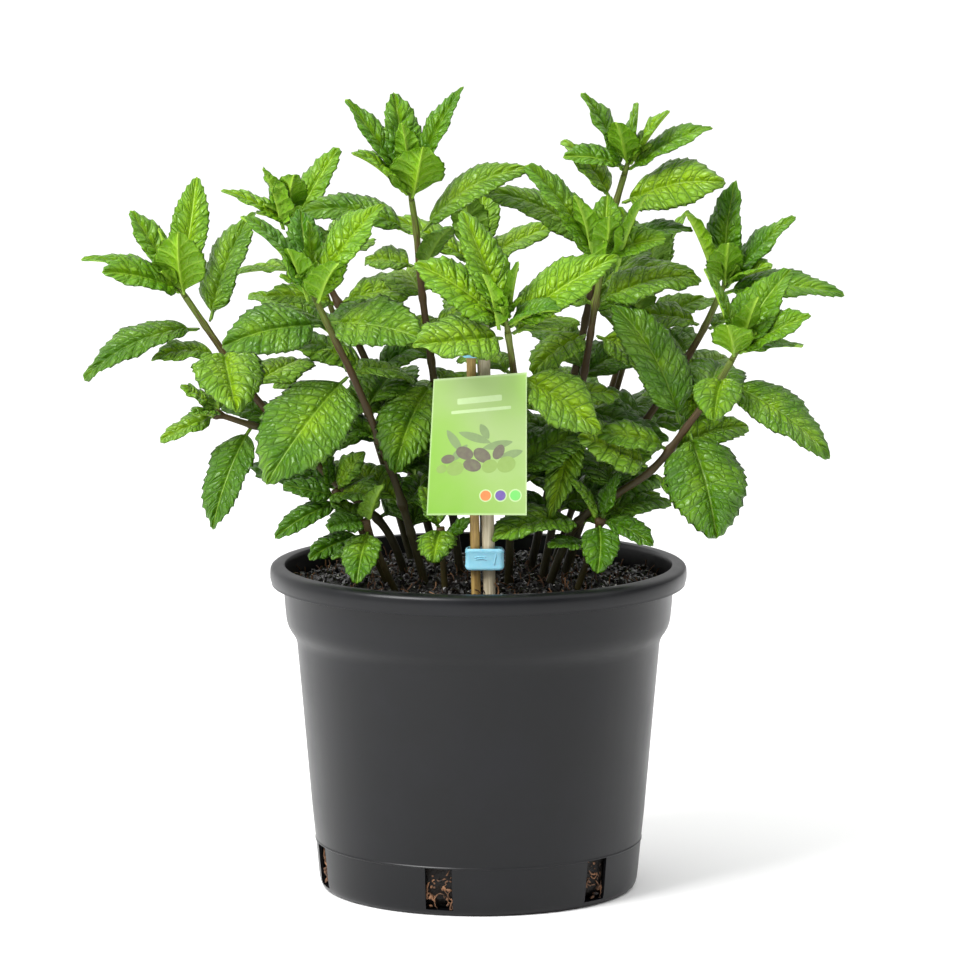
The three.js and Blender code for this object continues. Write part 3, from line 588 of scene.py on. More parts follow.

# %% [markdown]
# ## Mint stem material
# Mint stems are square. Near the soil they turn woody and tan, but there the colour is darkened almost to
# black, as painted shade from the leaves above. In the middle they are brown with a purple cast, and at the
# top they are green like the leaves. The colour follows the height along each stem, which the mesh carries
# as an attribute, and long thin streaks run with the stem.

# %% Mint stem material
STEM, tree, shader = new_material(
    "mint stem, ridged and downy",
    Roughness=0.5, IOR=1.45, Specular_IOR_Level=0.35, Subsurface_Weight=0.05, Subsurface_Scale=MM,
)
place = carried(tree, "stem_place")
along = add(tree, "Math", {"operation": "MULTIPLY"}, i0=place[1], i1=0.12)
around = add(tree, "Math", {"operation": "MULTIPLY"}, i0=place[2], i1=3.0)
streak_place = add(tree, "CombineXYZ", i0=along, i1=around)
streak = add(tree, "TexNoise", Vector=streak_place, Scale=1.0, Detail=4.0)
height = add(
    tree, "Math", {"operation": "MULTIPLY_ADD"},
    i0=add(tree, "Math", {"operation": "SUBTRACT"}, i0=streak, i1=0.5), i1=0.5, i2=place[0],
)
# painted shade: the lowest stops of this ramp are nearly black, so that the feet of the stems read as shaded
stem_colour = add(tree, "ValToRGB", i0=height)
set_stops(
    stem_colour.color_ramp,
    [(0.0, "#1c170b"), (0.25, "#353214"), (0.5, "#3f3616"), (0.85, "#49341c"), (1.0, "#687c2c")],
)
dark_streak = add(tree, "MapRange", Value=streak, From_Min=0.35, From_Max=0.65, To_Min=0.25, To_Max=0.0)
plug(
    shader,
    Base_Color=add(
        tree, "Mix", {"data_type": "RGBA"}, i0=dark_streak, i6=stem_colour, i7=linear("#2c2412")
    ),
)
down = add(tree, "TexNoise", Vector=add(tree, "TexCoord").outputs["Object"], Scale=1500.0, Detail=2.0)
plug(
    shader,
    Normal=add(
        tree, "Bump",
        Strength=0.35, Distance=0.2 * MM,
        Height=add(tree, "Math", {"operation": "ADD"}, i0=down, i1=streak),
    ),
)
print("stem material:", STEM.name)

# %% [markdown]
# ## Stems and shoots
# The stems are tubes through a few points, the same points as in the CAD model, joined by the same kind of
# curve, a centripetal Catmull-Rom spline. Where a pair of leaves leaves it, a mint stem swells a little, so
# each tube thickens at its leaves. A crown is the tip of a shoot: its young leaves stand round a bud, and a
# few leaves too small for the CAD model close the bud.

# %% Stem paths
STEM_PATHS = {
    "stem_centre": [[13, -24, 127], [15, -36, 190], [16, -51, 238], [13, -60, 262]],
    "stem_front_left": [
        [-20, -18, 127], [-36, -24, 185], [-47, -30, 216], [-57, -36, 241], [-65, -41, 258], [-72, -45, 274],
    ],
    "stem_left": [
        [-28, -4, 127], [-42, -6, 165], [-66, -8, 188], [-100, -10, 225], [-118, -11, 251], [-132, -12, 272],
    ],
    "stem_tall_left": [
        [-6, -6, 127], [-14, -7, 190], [-21, -8, 240], [-26, -8, 278], [-28, -8, 301], [-30, -8, 315],
    ],
    "stem_tall_right": [
        [20, 12, 127], [34, 12, 190], [46, 11, 245], [54, 10, 285], [61, 10, 308], [66, 10, 325],
    ],
    "stem_mid_right": [[26, -8, 127], [38, -12, 190], [48, -16, 240], [52, -18, 266], [55, -20, 284]],
    "stem_right": [[34, 6, 127], [52, 5, 178], [74, 2, 211], [88, 1, 232], [101, 0, 254], [109, 0, 271]],
    "stem_front_right": [
        [26, -26, 127], [44, -30, 171], [60, -33, 184], [78, -36, 197], [95, -39, 219], [105, -40, 233],
        [113, -42, 247],
    ],
    "stem_back_left": [[-14, 18, 127], [-30, 24, 185], [-55, 32, 245], [-75, 38, 283], [-84, 40, 297]],
    "sprig_far_left": [[-86, -10, 209], [-102, -15, 214], [-119, -18, 220]],
    "sprig_low_left": [[-36, -14, 130], [-52, -20, 165], [-65, -24, 186]],
    "sprig_front_left": [[-32, -36, 130], [-44, -44, 158], [-51, -48, 176]],
    "sprig_front": [[-14, -40, 130], [-16, -43, 158], [-17, -45, 172]],
    "sprig_front_right": [[40, -36, 130], [50, -41, 160], [55, -43, 176]],
    "shoot_back_left": [[-26, 34, 127], [-45, 50, 190], [-62, 64, 240], [-74, 74, 272]],
    "shoot_back": [[2, 36, 127], [2, 50, 190], [0, 60, 250], [-2, 64, 286]],
    "shoot_back_right": [[30, 44, 127], [52, 60, 190], [70, 74, 245], [80, 82, 272]],
    "shoot_inner_right": [[38, 26, 127], [54, 32, 190], [66, 36, 232], [72, 38, 252]],
}


def spline(corners, step=1.5):
    """Points about a step apart along a centripetal Catmull-Rom spline."""
    p = np.array(corners, float)
    p = np.vstack([2 * p[0] - p[1], p, 2 * p[-1] - p[-2]])
    out = []
    for p0, p1, p2, p3 in zip(p, p[1:], p[2:], p[3:]):
        d0, d1, d2 = (np.linalg.norm(b - a) ** 0.5 for a, b in ((p0, p1), (p1, p2), (p2, p3)))
        m1 = ((p1 - p0) / d0 - (p2 - p0) / (d0 + d1) + (p2 - p1) / d1) * d1
        m2 = ((p2 - p1) / d1 - (p3 - p1) / (d1 + d2) + (p3 - p2) / d2) * d1
        t = np.linspace(0, 1, max(2, int(np.linalg.norm(p2 - p1) / step)), endpoint=False)[:, None]
        out.append(
            (2 * t**3 - 3 * t**2 + 1) * p1 + (t**3 - 2 * t**2 + t) * m1
            + (3 * t**2 - 2 * t**3) * p2 + (t**3 - t**2) * m2
        )
    return np.vstack(out + [p[-2:-1]])


CURVES = {name: spline(corners) for name, corners in STEM_PATHS.items()}
longest = max(np.linalg.norm(np.diff(curve, axis=0), axis=1).sum() for curve in CURVES.values())
print("longest stem:", round(longest), "mm")

# %% Stems, leaf pairs and crowns
STEM_SIDES = 12


def leaf_base(leaf):
    turn, radius = midrib_arc(leaf)
    return leaf["tip"] - radius * math.sin(turn) * leaf["along"] - radius * (1 - math.cos(turn)) * leaf["up"]


def add_leaf(skin, leaf, age, slot):
    points, faces, attributes = leaf_grid(leaf, age)
    skin.join(points, faces, slot, **attributes)


def add_stem(skin, path, radius, top_radius, nodes, slot, height=(0.0, 1.0)):
    share = np.linspace(0, 1, len(path))
    radii = radius + (top_radius - radius) * share
    for node in nodes:
        radii = radii + 0.45 * np.exp(-((np.linalg.norm(path - node, axis=1) / 2.2) ** 2))
    points, faces = tube(path, radii, sides=STEM_SIDES, turn=math.pi / 4, squareness=0.16)
    ring = np.repeat(share, STEM_SIDES)
    around = np.tile(np.arange(STEM_SIDES), len(path))
    ring, around = np.append(ring, [0, 1]), np.append(around, [0, 0])
    length = np.linalg.norm(np.diff(path, axis=0), axis=1).sum()
    place = np.stack([height[0] + (height[1] - height[0]) * ring, ring * length, around], -1)
    skin.join(points, faces, slot, stem_place=place)


pieces = {}
leaf_count = 0
pairs = [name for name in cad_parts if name.startswith("leaves_")]
pair_leaves = {name: read_leaves(name, np.zeros(3)) for name in sorted(pairs)}

for name, curve in CURVES.items():
    leaves = read_leaves(name, curve[-1])
    nodes = [leaf_base(leaf) for leaf in leaves]
    shoot = name[5:] if name.startswith("stem_") else None
    for pair, found in pair_leaves.items():
        if shoot and pair[7:-2] == shoot:
            nodes += [leaf_base(leaf) for leaf in found]
    skin = Skin()
    if shoot:
        add_stem(skin, curve, 2.1, 1.55, nodes, 1)
    else:
        add_stem(skin, curve, 1.75, 1.3, nodes, 1, (0.15, 0.7 if name.startswith("sprig") else 1.0))
    for leaf in leaves:
        small = leaf["length"] < 34 or not shoot
        add_leaf(skin, leaf, 0.75 if small else 1.0, 0)
    leaf_count += len(leaves)
    pieces[name] = skin.make(name + "_leafy", [MATURE, STEM])
    finish(pieces[name], "mint_stem" if shoot else "mint_leaf", name)

for name, leaves in pair_leaves.items():
    skin = Skin()
    for leaf in leaves:
        add_leaf(skin, leaf, 0.95, 0)
    leaf_count += len(leaves)
    pieces[name] = skin.make(name + "_detailed", [MATURE])
    finish(pieces[name], "mint_leaf", name)

for name in sorted(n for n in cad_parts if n.startswith("crown_")):
    curve = CURVES["stem_" + name[6:]]
    top, along = curve[-1], unit(curve[-1] - curve[-3])
    leaves = read_leaves(name, top + 3 * along)
    skin = Skin()
    stub = np.array([top + along * d for d in (0.2, 2, 4, 6, 8)])
    add_stem(skin, stub, 1.5, 1.0, [], 1, (0.95, 1.0))
    for leaf in leaves:
        add_leaf(skin, leaf, float(np.clip((leaf["length"] - 18) / 50, 0.1, 0.8)), 0)
    sideways = unit(np.cross(along, [0.2, 1, 0.1]))
    forwards = np.cross(along, sideways)
    for k in range(8):
        azimuth = k * math.pi / 2 + (0.8 if k > 3 else 0) + rng.uniform(-0.3, 0.3)
        out = math.cos(azimuth) * sideways + math.sin(azimuth) * forwards
        lean = math.radians(40 - 4 * k)
        direction = math.cos(lean) * along + math.sin(lean) * out
        size = 16.5 - 1.2 * k
        upper = unit(math.sin(lean) * along - math.cos(lean) * out)
        bud = {"along": direction, "up": upper, "turn": -0.5, "length": size, "width": 0.55 * size}
        bud["tip"] = top + along * (4.5 + 0.6 * k) + direction * size
        add_leaf(skin, bud, 0.1, 0)
    leaf_count += len(leaves)
    pieces[name] = skin.make(name + "_detailed", [YOUNG, STEM])
    finish(pieces[name], "young_leaf", name)

print("leaves:", leaf_count, "faces:", sum(len(p.data.polygons) for p in pieces.values()))

# %% [markdown]
# ## Nursery pot
# The pot is one injection moulding: a tapered wall, a collar under the rim, a rolled lip to lift it by, and
# slots where the wall meets the floor, for drainage and air. A turned shape is a profile spun round an
# axis, so a list of points and numpy give it, with far more sides than the CAD model has. The slots are
# then cut with a Boolean modifier, which is applied at once. Edges are shaded sharp only where the moulding
# has a true corner.

# %% Nursery pot
def turned_faces(rows, sides):
    """The faces of rings round an axis, closed by a point at each end. The ends come after the rings."""
    faces = []
    for i in range(sides):
        j = (i + 1) % sides
        for k in range(rows - 1):
            faces.append((k * sides + i, k * sides + j, (k + 1) * sides + j, (k + 1) * sides + i))
        faces.append((rows * sides, j, i))
        faces.append((rows * sides + 1, (rows - 1) * sides + i, (rows - 1) * sides + j))
    return faces


POT_SIDES = 240
SLOT_ANGLES = [-14 + 60 * i for i in range(6)]
# radius and height in millimetres, from the middle of the underside, up the outside and down the inside
UNDERSIDE = [
    (0.0, 0.0), (27.6, 0.0), (28.4, 0.4), (29.6, 1.9), (30.4, 2.2), (64.8, 2.2), (66.0, 1.8), (67.2, 0.3),
    (68.0, 0.0),
]
FOOT = [
    (70.2, 0.0), (71.0, 0.25), (71.8, 1.0), (72.4, 2.3), (72.85, 4.2), (73.2, 7.0), (74.55, 21.5),
    (74.9, 21.9), (74.95, 22.3), (74.7, 22.7),
]
WALL = [(76.0, 35), (78.0, 58), (80.2, 83.5), (82.0, 104), (82.75, 112.5), (83.2, 114.6)]
COLLAR = [
    (84.2, 116.6), (85.6, 118.6), (86.7, 120.6), (87.35, 122.6), (87.7, 124.6), (88.3, 131), (88.8, 138.2),
    (89.0, 139.6), (89.5, 140.1),
]
ROLLED_LIP = [
    (92.8, 140.0), (93.9, 139.75), (94.25, 139.9), (94.35, 140.2), (94.3, 140.5), (94.5, 141.2),
    (94.9, 142.6), (95.0, 144.6), (94.85, 146.6), (94.4, 147.7), (93.5, 148.4), (92.2, 148.75),
    (90.2, 149.0), (89.0, 148.95), (88.4, 148.6), (88.1, 148.0),
]
INSIDE = [
    (87.8, 146.4), (87.3, 140), (86.4, 124), (85.4, 121), (83.4, 118), (81.6, 115.4), (81.2, 112),
    (73.2, 22), (71.8, 8), (71.2, 5.0), (69.8, 3.9), (66.0, 3.7), (0.0, 3.7),
]
profile = np.array(UNDERSIDE + FOOT + WALL + COLLAR + ROLLED_LIP + INSIDE)
fine_profile = [profile[0]]
for start, end in zip(profile, profile[1:]):
    steps = max(1, int(np.linalg.norm(end - start) / 4.0))
    fine_profile += [start + (end - start) * k / steps for k in range(1, steps + 1)]
fine_profile = np.array(fine_profile)

turns = np.arange(POT_SIDES) / POT_SIDES * 2 * math.pi
rings = np.stack(
    [
        fine_profile[1:-1, 0, None] * np.sin(turns),
        -fine_profile[1:-1, 0, None] * np.cos(turns),
        np.broadcast_to(fine_profile[1:-1, 1, None], (len(fine_profile) - 2, POT_SIDES)),
    ],
    -1,
)
points = np.concatenate([rings.reshape(-1, 3), [[0, 0, fine_profile[0, 1]], [0, 0, fine_profile[-1, 1]]]])
faces = turned_faces(len(rings), POT_SIDES)
pot_skin = Skin()
pot_skin.join(points, faces, 0)
print("pot profile points:", len(fine_profile), "faces:", len(faces))

# %% Cut the drainage slots
def apply_modifiers(piece):
    """The piece's mesh becomes what its modifiers make of it."""
    depsgraph = bpy.context.evaluated_depsgraph_get()
    made = bpy.data.meshes.new_from_object(piece.evaluated_get(depsgraph), depsgraph=depsgraph)
    piece.modifiers.clear()
    piece.data = made


def smooth_by_angle(piece, degrees):
    """Smooth shading, except over edges sharper than this."""
    shape = bmesh.new()
    shape.from_mesh(piece.data)
    for face in shape.faces:
        face.smooth = True
    for edge in shape.edges:
        edge.smooth = not edge.is_manifold or edge.calc_face_angle(0) < math.radians(degrees)
    shape.to_mesh(piece.data)
    shape.free()


POT, tree, shader = new_material(
    "polypropylene, recycled black, moulded satin", Roughness=0.36, IOR=1.49, Specular_IOR_Level=0.3
)
place = add(tree, "TexCoord").outputs["Object"]
flow_place = add(tree, "Mapping", Vector=place, Scale=(60.0, 60.0, 9.0))
flow = add(tree, "TexNoise", Vector=flow_place, Scale=1.0, Detail=4.0, Roughness=0.6)
grain = add(tree, "TexNoise", Vector=place, Scale=1400.0, Detail=3.0)
smudge = add(tree, "TexNoise", Vector=place, Scale=22.0, Detail=5.0, Roughness=0.65)
worn = add(tree, "MapRange", Value=smudge, From_Min=0.45, From_Max=0.8)
black = add(tree, "Mix", {"data_type": "RGBA"}, i0=worn, i6=linear("#08090c"), i7=linear("#101116"))
plug(shader, Base_Color=black)
rough = add(
    tree, "Math", {"operation": "MULTIPLY_ADD"},
    i0=flow, i1=0.1,
    i2=add(tree, "MapRange", Value=smudge, From_Min=0.3, From_Max=0.8, To_Min=0.24, To_Max=0.36),
)
plug(shader, Roughness=rough)
height = add(
    tree, "Math", {"operation": "MULTIPLY_ADD"},
    i0=flow, i1=1.2, i2=add(tree, "Math", {"operation": "MULTIPLY"}, i0=grain, i1=0.3),
)
plug(shader, Normal=add(tree, "Bump", Strength=0.25, Distance=0.12 * MM, Height=height))

SLOT_SIDES = (-6.2, 6.2)
SLOT_LEVELS = (2.6, 21.8)
SLOT_REACH = (63.5, 83)
BOX_FACES = [(0, 1, 3, 2), (4, 6, 7, 5), (0, 4, 5, 1), (2, 3, 7, 6), (0, 2, 6, 4), (1, 5, 7, 3)]
pot = pot_skin.make("pot_moulding", [POT])
slots = Skin()
for degrees in SLOT_ANGLES:
    a = math.radians(degrees)
    out = np.array([math.sin(a), -math.cos(a), 0])
    side = np.array([math.cos(a), math.sin(a), 0])
    floor_plan = [out * r + side * w for r in SLOT_REACH for w in SLOT_SIDES]
    slots.join([corner + np.array([0, 0, z]) for corner in floor_plan for z in SLOT_LEVELS], BOX_FACES, 0)
cutter = slots.make("slot_cutter", [POT], smooth=False)
cut = pot.modifiers.new("slots", "BOOLEAN")
cut.object = cutter
cut.operation = "DIFFERENCE"
cut.solver = "EXACT"
apply_modifiers(pot)
bpy.data.objects.remove(cutter)
smooth_by_angle(pot, 32)
finish(pot, "pot_plastic", "pot")
print("pot faces:", len(pot.data.polygons))

# %% [markdown]
# ## Potting mix
# Potting mix is peat, bark crumb, short fibres and white grit, and its surface is all small shadows. The
# body of the mix is one lumpy closed shape that fills the pot. Geometry Nodes then strew crumbs, fibres and
# grit over its top: they spread points over a surface at a density, put a small shape on each, turn and
# size it at random from a fixed seed, and so do in one graph what would be thousands of placements by hand.

# %% Body of the potting mix
def value_noise(x, y, size, seed):
    """Smooth noise between -1 and 1 with lumps of about this size in millimetres."""
    table = np.random.default_rng(seed).uniform(-1, 1, (64, 64))
    u, v = x / size, y / size
    i, j = np.floor(u).astype(int), np.floor(v).astype(int)
    fu, fv = u - i, v - j
    fu, fv = fu * fu * (3 - 2 * fu), fv * fv * (3 - 2 * fv)
    pick = lambda a, b: table[a % 64, b % 64]
    low = pick(i, j) * (1 - fu) + pick(i + 1, j) * fu
    high = pick(i, j + 1) * (1 - fu) + pick(i + 1, j + 1) * fu
    return low * (1 - fv) + high * fv


SOIL, tree, shader = new_material(
    "peat and bark potting mix, moist", Roughness=0.62, IOR=1.4, Specular_IOR_Level=0.3
)
place = add(tree, "TexCoord").outputs["Object"]
patch = add(tree, "TexNoise", Vector=place, Scale=180.0, Detail=6.0, Roughness=0.7)
soil_colour = add(tree, "ValToRGB", i0=patch)
set_stops(soil_colour.color_ramp, [(0.3, "#050403"), (0.5, "#0c0907"), (0.64, "#150f0a"), (0.8, "#2c1e13")])
plug(shader, Base_Color=soil_colour)
rough = add(tree, "MapRange", Value=patch, From_Min=0.4, From_Max=0.7, To_Min=0.38, To_Max=0.85)
plug(shader, Roughness=rough)
lumps = add(tree, "TexNoise", Vector=place, Scale=650.0, Detail=4.0)
plug(shader, Normal=add(tree, "Bump", Strength=1.0, Distance=0.9 * MM, Height=lumps))

SOIL_SIDES = 120
SOIL_RADIUS = 86.2
SOIL_CROWN = 144.5
SOIL_FLOOR = 4.4
top_radii = np.linspace(0, SOIL_RADIUS, 58)[1:]
turns = np.arange(SOIL_SIDES) / SOIL_SIDES * 2 * math.pi
R, A = np.meshgrid(top_radii, turns, indexing="ij")
x, y = R * np.sin(A), -R * np.cos(A)
mound = SOIL_CROWN - 5.5 * (R / SOIL_RADIUS) ** 2
lumpy = 1.5 * value_noise(x, y, 11, 1) + 0.9 * value_noise(x, y, 4.5, 2) + 0.5 * value_noise(x, y, 2.2, 3)
top = np.stack([x, y, mound + lumpy * np.clip((86.5 - R) / 3, 0.15, 1)], -1)
side_levels = [(84.6, 123), (80.6, 112), (77.0, 70), (72.2, 22), (70.6, 8), (68.5, SOIL_FLOOR)]
sides = [
    np.stack(
        [r * np.sin(turns), -r * np.cos(turns), z + (0.5 if 4.5 < z < 120 else 0) * np.sin(7 * turns)], -1
    )
    for r, z in side_levels
]
rings = np.concatenate([top, np.array(sides)])
points = np.concatenate([rings.reshape(-1, 3), [[0, 0, SOIL_CROWN], [0, 0, SOIL_FLOOR]]])
# these rings run from the top down, so their faces are turned round
faces = [face[:1] + face[:0:-1] for face in turned_faces(len(rings), SOIL_SIDES)]
soil_skin = Skin()
soil_skin.join(points, faces, 0)
soil = soil_skin.make("potting_mix_body", [SOIL])
finish(soil, "potting_mix", "potting_mix")
print("potting mix from", round(points[:, 2].min(), 1), "to", round(points[:, 2].max(), 1), "mm")

# %% Crumbs, fibres and grit with Geometry Nodes
def plain_material(name, dark, light, size, roughness, bump_mm):
    """A rough natural material: two colours mixed by noise of this size in millimetres, with its bump."""
    material, tree, shader = new_material(name, Roughness=roughness)
    noise = add(
        tree, "TexNoise", Vector=add(tree, "TexCoord").outputs["Object"], Scale=1 / (size * MM), Detail=4.0
    )
    colour = add(
        tree, "Mix", {"data_type": "RGBA"},
        i0=add(tree, "MapRange", Value=noise, From_Min=0.35, From_Max=0.65), i6=linear(dark),
        i7=linear(light),
    )
    plug(shader, Base_Color=colour)
    plug(shader, Normal=add(tree, "Bump", Strength=0.8, Distance=bump_mm * MM, Height=noise))
    return material


CRUMB = plain_material("bark crumb, composted", "#050404", "#1a120c", 9.0, 0.3, 0.4)
FIBRE = plain_material("coir fibre", "#2a190d", "#7a5330", 6.0, 0.6, 0.1)
GRIT = plain_material("perlite grit", "#b9b5ab", "#f2f0ea", 2.0, 0.35, 0.2)


def strew_tree(name, make_shape):
    """A Geometry Nodes tree that strews a shape over the input surface."""
    tree = bpy.data.node_groups.new(name, "GeometryNodeTree")
    for label, kind, start in (
        ("Geometry", "NodeSocketGeometry", None),
        ("Density per square metre", "NodeSocketFloat", 1000.0),
        ("Smallest", "NodeSocketFloat", 0.5),
        ("Largest", "NodeSocketFloat", 1.5),
        ("Seed", "NodeSocketInt", 1),
        ("Material", "NodeSocketMaterial", None),
    ):
        socket = tree.interface.new_socket(label, in_out="INPUT", socket_type=kind)
        if start is not None:
            socket.default_value = start
    tree.interface.new_socket("Geometry", in_out="OUTPUT", socket_type="NodeSocketGeometry")

    given = add(tree, "NodeGroupInput").outputs
    seed = given["Seed"]
    points = add(
        tree, "GeometryNodeDistributePointsOnFaces",
        Mesh=given["Geometry"], Density=given["Density per square metre"], Seed=seed,
    )
    turn = add(
        tree, "FunctionNodeRandomValue", {"data_type": "FLOAT_VECTOR"}, i1=(6.28, 6.28, 6.28), Seed=seed
    )
    size = add(
        tree, "FunctionNodeRandomValue", {"data_type": "FLOAT"},
        i2=given["Smallest"], i3=given["Largest"], Seed=seed,
    )
    placed = add(
        tree, "GeometryNodeInstanceOnPoints",
        Points=points, Instance=make_shape(tree), Rotation=turn, Scale=size,
    )
    real = add(tree, "GeometryNodeRealizeInstances", Geometry=placed)
    lump = add(tree, "ShaderNodeTexNoise", i2=700.0)
    centred = add(
        tree, "ShaderNodeVectorMath", {"operation": "SUBTRACT"},
        i0=lump.outputs["Color"], i1=(0.5, 0.5, 0.5),
    )
    shift = add(tree, "ShaderNodeVectorMath", {"operation": "SCALE"}, i0=centred, i3=1.6 * MM)
    rough = add(tree, "GeometryNodeSetPosition", Geometry=real, Offset=shift)
    painted = add(tree, "GeometryNodeSetMaterial", Geometry=rough, Material=given["Material"])
    add(tree, "NodeGroupOutput", Geometry=painted)
    return tree


def crumb_shape(tree):
    ball = add(tree, "GeometryNodeMeshIcoSphere", Radius=MM, Subdivisions=1)
    return add(tree, "GeometryNodeTransform", Geometry=ball, Scale=(1.5, 1.0, 0.7))


def fibre_shape(tree):
    path = add(
        tree, "GeometryNodeCurvePrimitiveBezierSegment", Resolution=6, Start=(-6 * MM, 0, 0),
        i2=(-2 * MM, 4 * MM, 1 * MM), i3=(2 * MM, -4 * MM, 1.5 * MM), i4=(6 * MM, 1 * MM, 0),
    )
    section = add(tree, "GeometryNodeCurvePrimitiveCircle", Resolution=4, i4=0.32 * MM)
    return add(tree, "GeometryNodeCurveToMesh", Curve=path, i1=section, Fill_Caps=True)


crumb_tree = strew_tree("strew crumbs", crumb_shape)
fibre_tree = strew_tree("strew fibres", fibre_shape)


def strew(name, tree, material, density, smallest, largest, seed):
    """Strews over the top of the potting mix, and returns the result as a plain mesh."""
    surface = Skin()
    surface.join(top.reshape(-1, 3), [f for f in faces if max(f) < top.size // 3], 0)
    piece = surface.make(name, [material])
    modifier = piece.modifiers.new("strew", "NODES")
    modifier.node_group = tree
    inputs = {s.name: s.identifier for s in tree.interface.items_tree if s.in_out == "INPUT"}
    values = {"Density per square metre": density, "Smallest": smallest, "Largest": largest, "Seed": seed}
    for label, value in values.items():
        modifier[inputs[label]] = value
    modifier[inputs["Material"]] = material
    apply_modifiers(piece)
    finish(piece, "potting_mix")
    print(name, len(piece.data.polygons), "faces")
    return piece


strew("bark_crumbs", crumb_tree, CRUMB, 110000.0, 0.5, 1.7, 4)
strew("coir_fibres", fibre_tree, FIBRE, 16000.0, 0.35, 1.1, 5)
strew("perlite_grit", crumb_tree, GRIT, 12000.0, 0.25, 0.8, 6)

# %% [markdown]
# ## Roots at the drainage slots
# A plant that has filled its pot shows roots and bark at the slots. They are thin tubes that wander in the
# slot's opening, just inside the wall, from a random walk with a fixed seed.

# %% Roots at the drainage slots
ROOT = plain_material("root and bark, dry", "#120a06", "#845c3e", 5.0, 0.7, 0.3)
root_rng = np.random.default_rng(23)
roots = Skin()
for degrees in SLOT_ANGLES:
    a = math.radians(degrees)
    out = np.array([math.sin(a), -math.cos(a), 0])
    side = np.array([math.cos(a), math.sin(a), 0])
    for _ in range(10):
        place = np.array([root_rng.uniform(-5.5, 5.5), root_rng.uniform(3.5, 20)])
        heading = root_rng.uniform(0, 2 * math.pi)
        path = []
        for _ in range(9):
            depth = 71.3 + 0.01 * place[1] + root_rng.uniform(-0.9, 0.5)
            path.append(out * depth + side * place[0] + np.array([0, 0, place[1]]))
            heading += root_rng.uniform(-0.9, 0.9)
            place = place + 1.5 * np.array([math.cos(heading), math.sin(heading)])
            place = np.clip(place, [-5.9, 3.0], [5.9, 21.0])
        thin = root_rng.uniform(0.22, 0.55)
        points, root_faces = tube(path, thin * np.array([0.6, 1, 1, 1, 1, 1, 1, 0.9, 0.5]), sides=5)
        roots.join(points, root_faces, 0)
    for _ in range(22):
        size = root_rng.uniform(0.7, 1.9)
        depth = 70.6 + root_rng.uniform(-0.6, 0.3)
        middle = out * depth + side * root_rng.uniform(-5.2, 5.2)
        middle = middle + np.array([0, 0, root_rng.uniform(3.6, 20.5)])
        reach = unit(root_rng.normal(size=3)) * size
        path = [middle - reach, middle - 0.4 * reach, middle + 0.4 * reach, middle + reach]
        points, root_faces = tube(path, size * np.array([0.25, 0.5, 0.55, 0.2]), sides=5)
        roots.join(points, root_faces, 0)
finish(roots.make("slot_roots", [ROOT]), "potting_mix")
print("roots:", len(roots.faces), "faces")

# %% [markdown]
# ## Canes and clips
# Two canes hold the label up: a slim split cane, and a stout one. A cane is a tube with a faint ring at
# each of its nodes, and what tells it from a rod is its grain, fine streaks along its length. The clips are
# blue bands moulded in one piece, with a raised frame on the front.

# %% Canes
def cane_material(name, dark, light, stain):
    material, tree, shader = new_material(name, Roughness=0.55)
    place = add(tree, "TexCoord").outputs["Object"]
    stretched = add(tree, "Mapping", Vector=place, Scale=(1800.0, 1800.0, 45.0))
    streak = add(tree, "TexNoise", Vector=stretched, Scale=1.0, Detail=4.0, Roughness=0.6)
    blotch = add(tree, "TexNoise", Vector=place, Scale=70.0, Detail=3.0)
    colour = add(
        tree, "Mix", {"data_type": "RGBA"},
        i0=add(tree, "MapRange", Value=streak, From_Min=0.3, From_Max=0.7), i6=linear(dark),
        i7=linear(light),
    )
    colour = add(
        tree, "Mix", {"data_type": "RGBA"},
        i0=add(tree, "MapRange", Value=blotch, From_Min=0.5, From_Max=0.75, To_Min=0.0, To_Max=0.5),
        i6=colour, i7=linear(stain),
    )
    plug(shader, Base_Color=colour)
    plug(shader, Normal=add(tree, "Bump", Strength=0.5, Distance=0.15 * MM, Height=streak))
    return material


SPLIT_CANE = cane_material("bamboo, split and varnished", "#6e5220", "#b89a58", "#4e3a16")
STOUT_CANE = cane_material("bamboo, weathered", "#968a6e", "#c7bda2", "#6e6450")
cane_rng = np.random.default_rng(31)
for name, foot, head, radius, material, slot in (
    ("cane_slim", (0.9, -57, 48), (-3.5, -56, 262), 2.1, SPLIT_CANE, "split_cane"),
    ("cane_stout", (7.2, -57, 48), (2.1, -54.1, 264), 2.8, STOUT_CANE, "stout_cane"),
):
    share = np.linspace(0, 1, 90)[:, None]
    path = np.array(foot) + share * (np.array(head) - np.array(foot))
    heights = path[:, 2]
    radii = radius * (1 + 0.03 * value_noise(heights, heights * 0, 14, 8))
    for ring in cane_rng.uniform(150, 262, 2):
        radii = radii + 0.28 * np.exp(-(((heights - ring) / 1.2) ** 2))
    radii[[0, -1]] *= 0.9
    points, cane_faces = tube(path, radii, sides=20)
    skin = Skin()
    skin.join(points, cane_faces, 0)
    finish(skin.make(name + "_bamboo", [material]), slot, name)
    print(name, "radius", round(float(radii.mean()), 2), "mm")

# %% Clips
CLIP, tree, shader = new_material(
    "polyethylene, pale blue, moulded", Roughness=0.38, IOR=1.5, Subsurface_Weight=0.15, Subsurface_Scale=MM
)
haze = add(tree, "TexNoise", Vector=add(tree, "TexCoord").outputs["Object"], Scale=420.0, Detail=4.0)
blue = add(tree, "Mix", {"data_type": "RGBA"}, i0=haze, i6=linear("#6fb0c6"), i7=linear("#90c6d6"))
plug(shader, Base_Color=blue)
plug(shader, Normal=add(tree, "Bump", Strength=0.3, Distance=0.2 * MM, Height=haze))


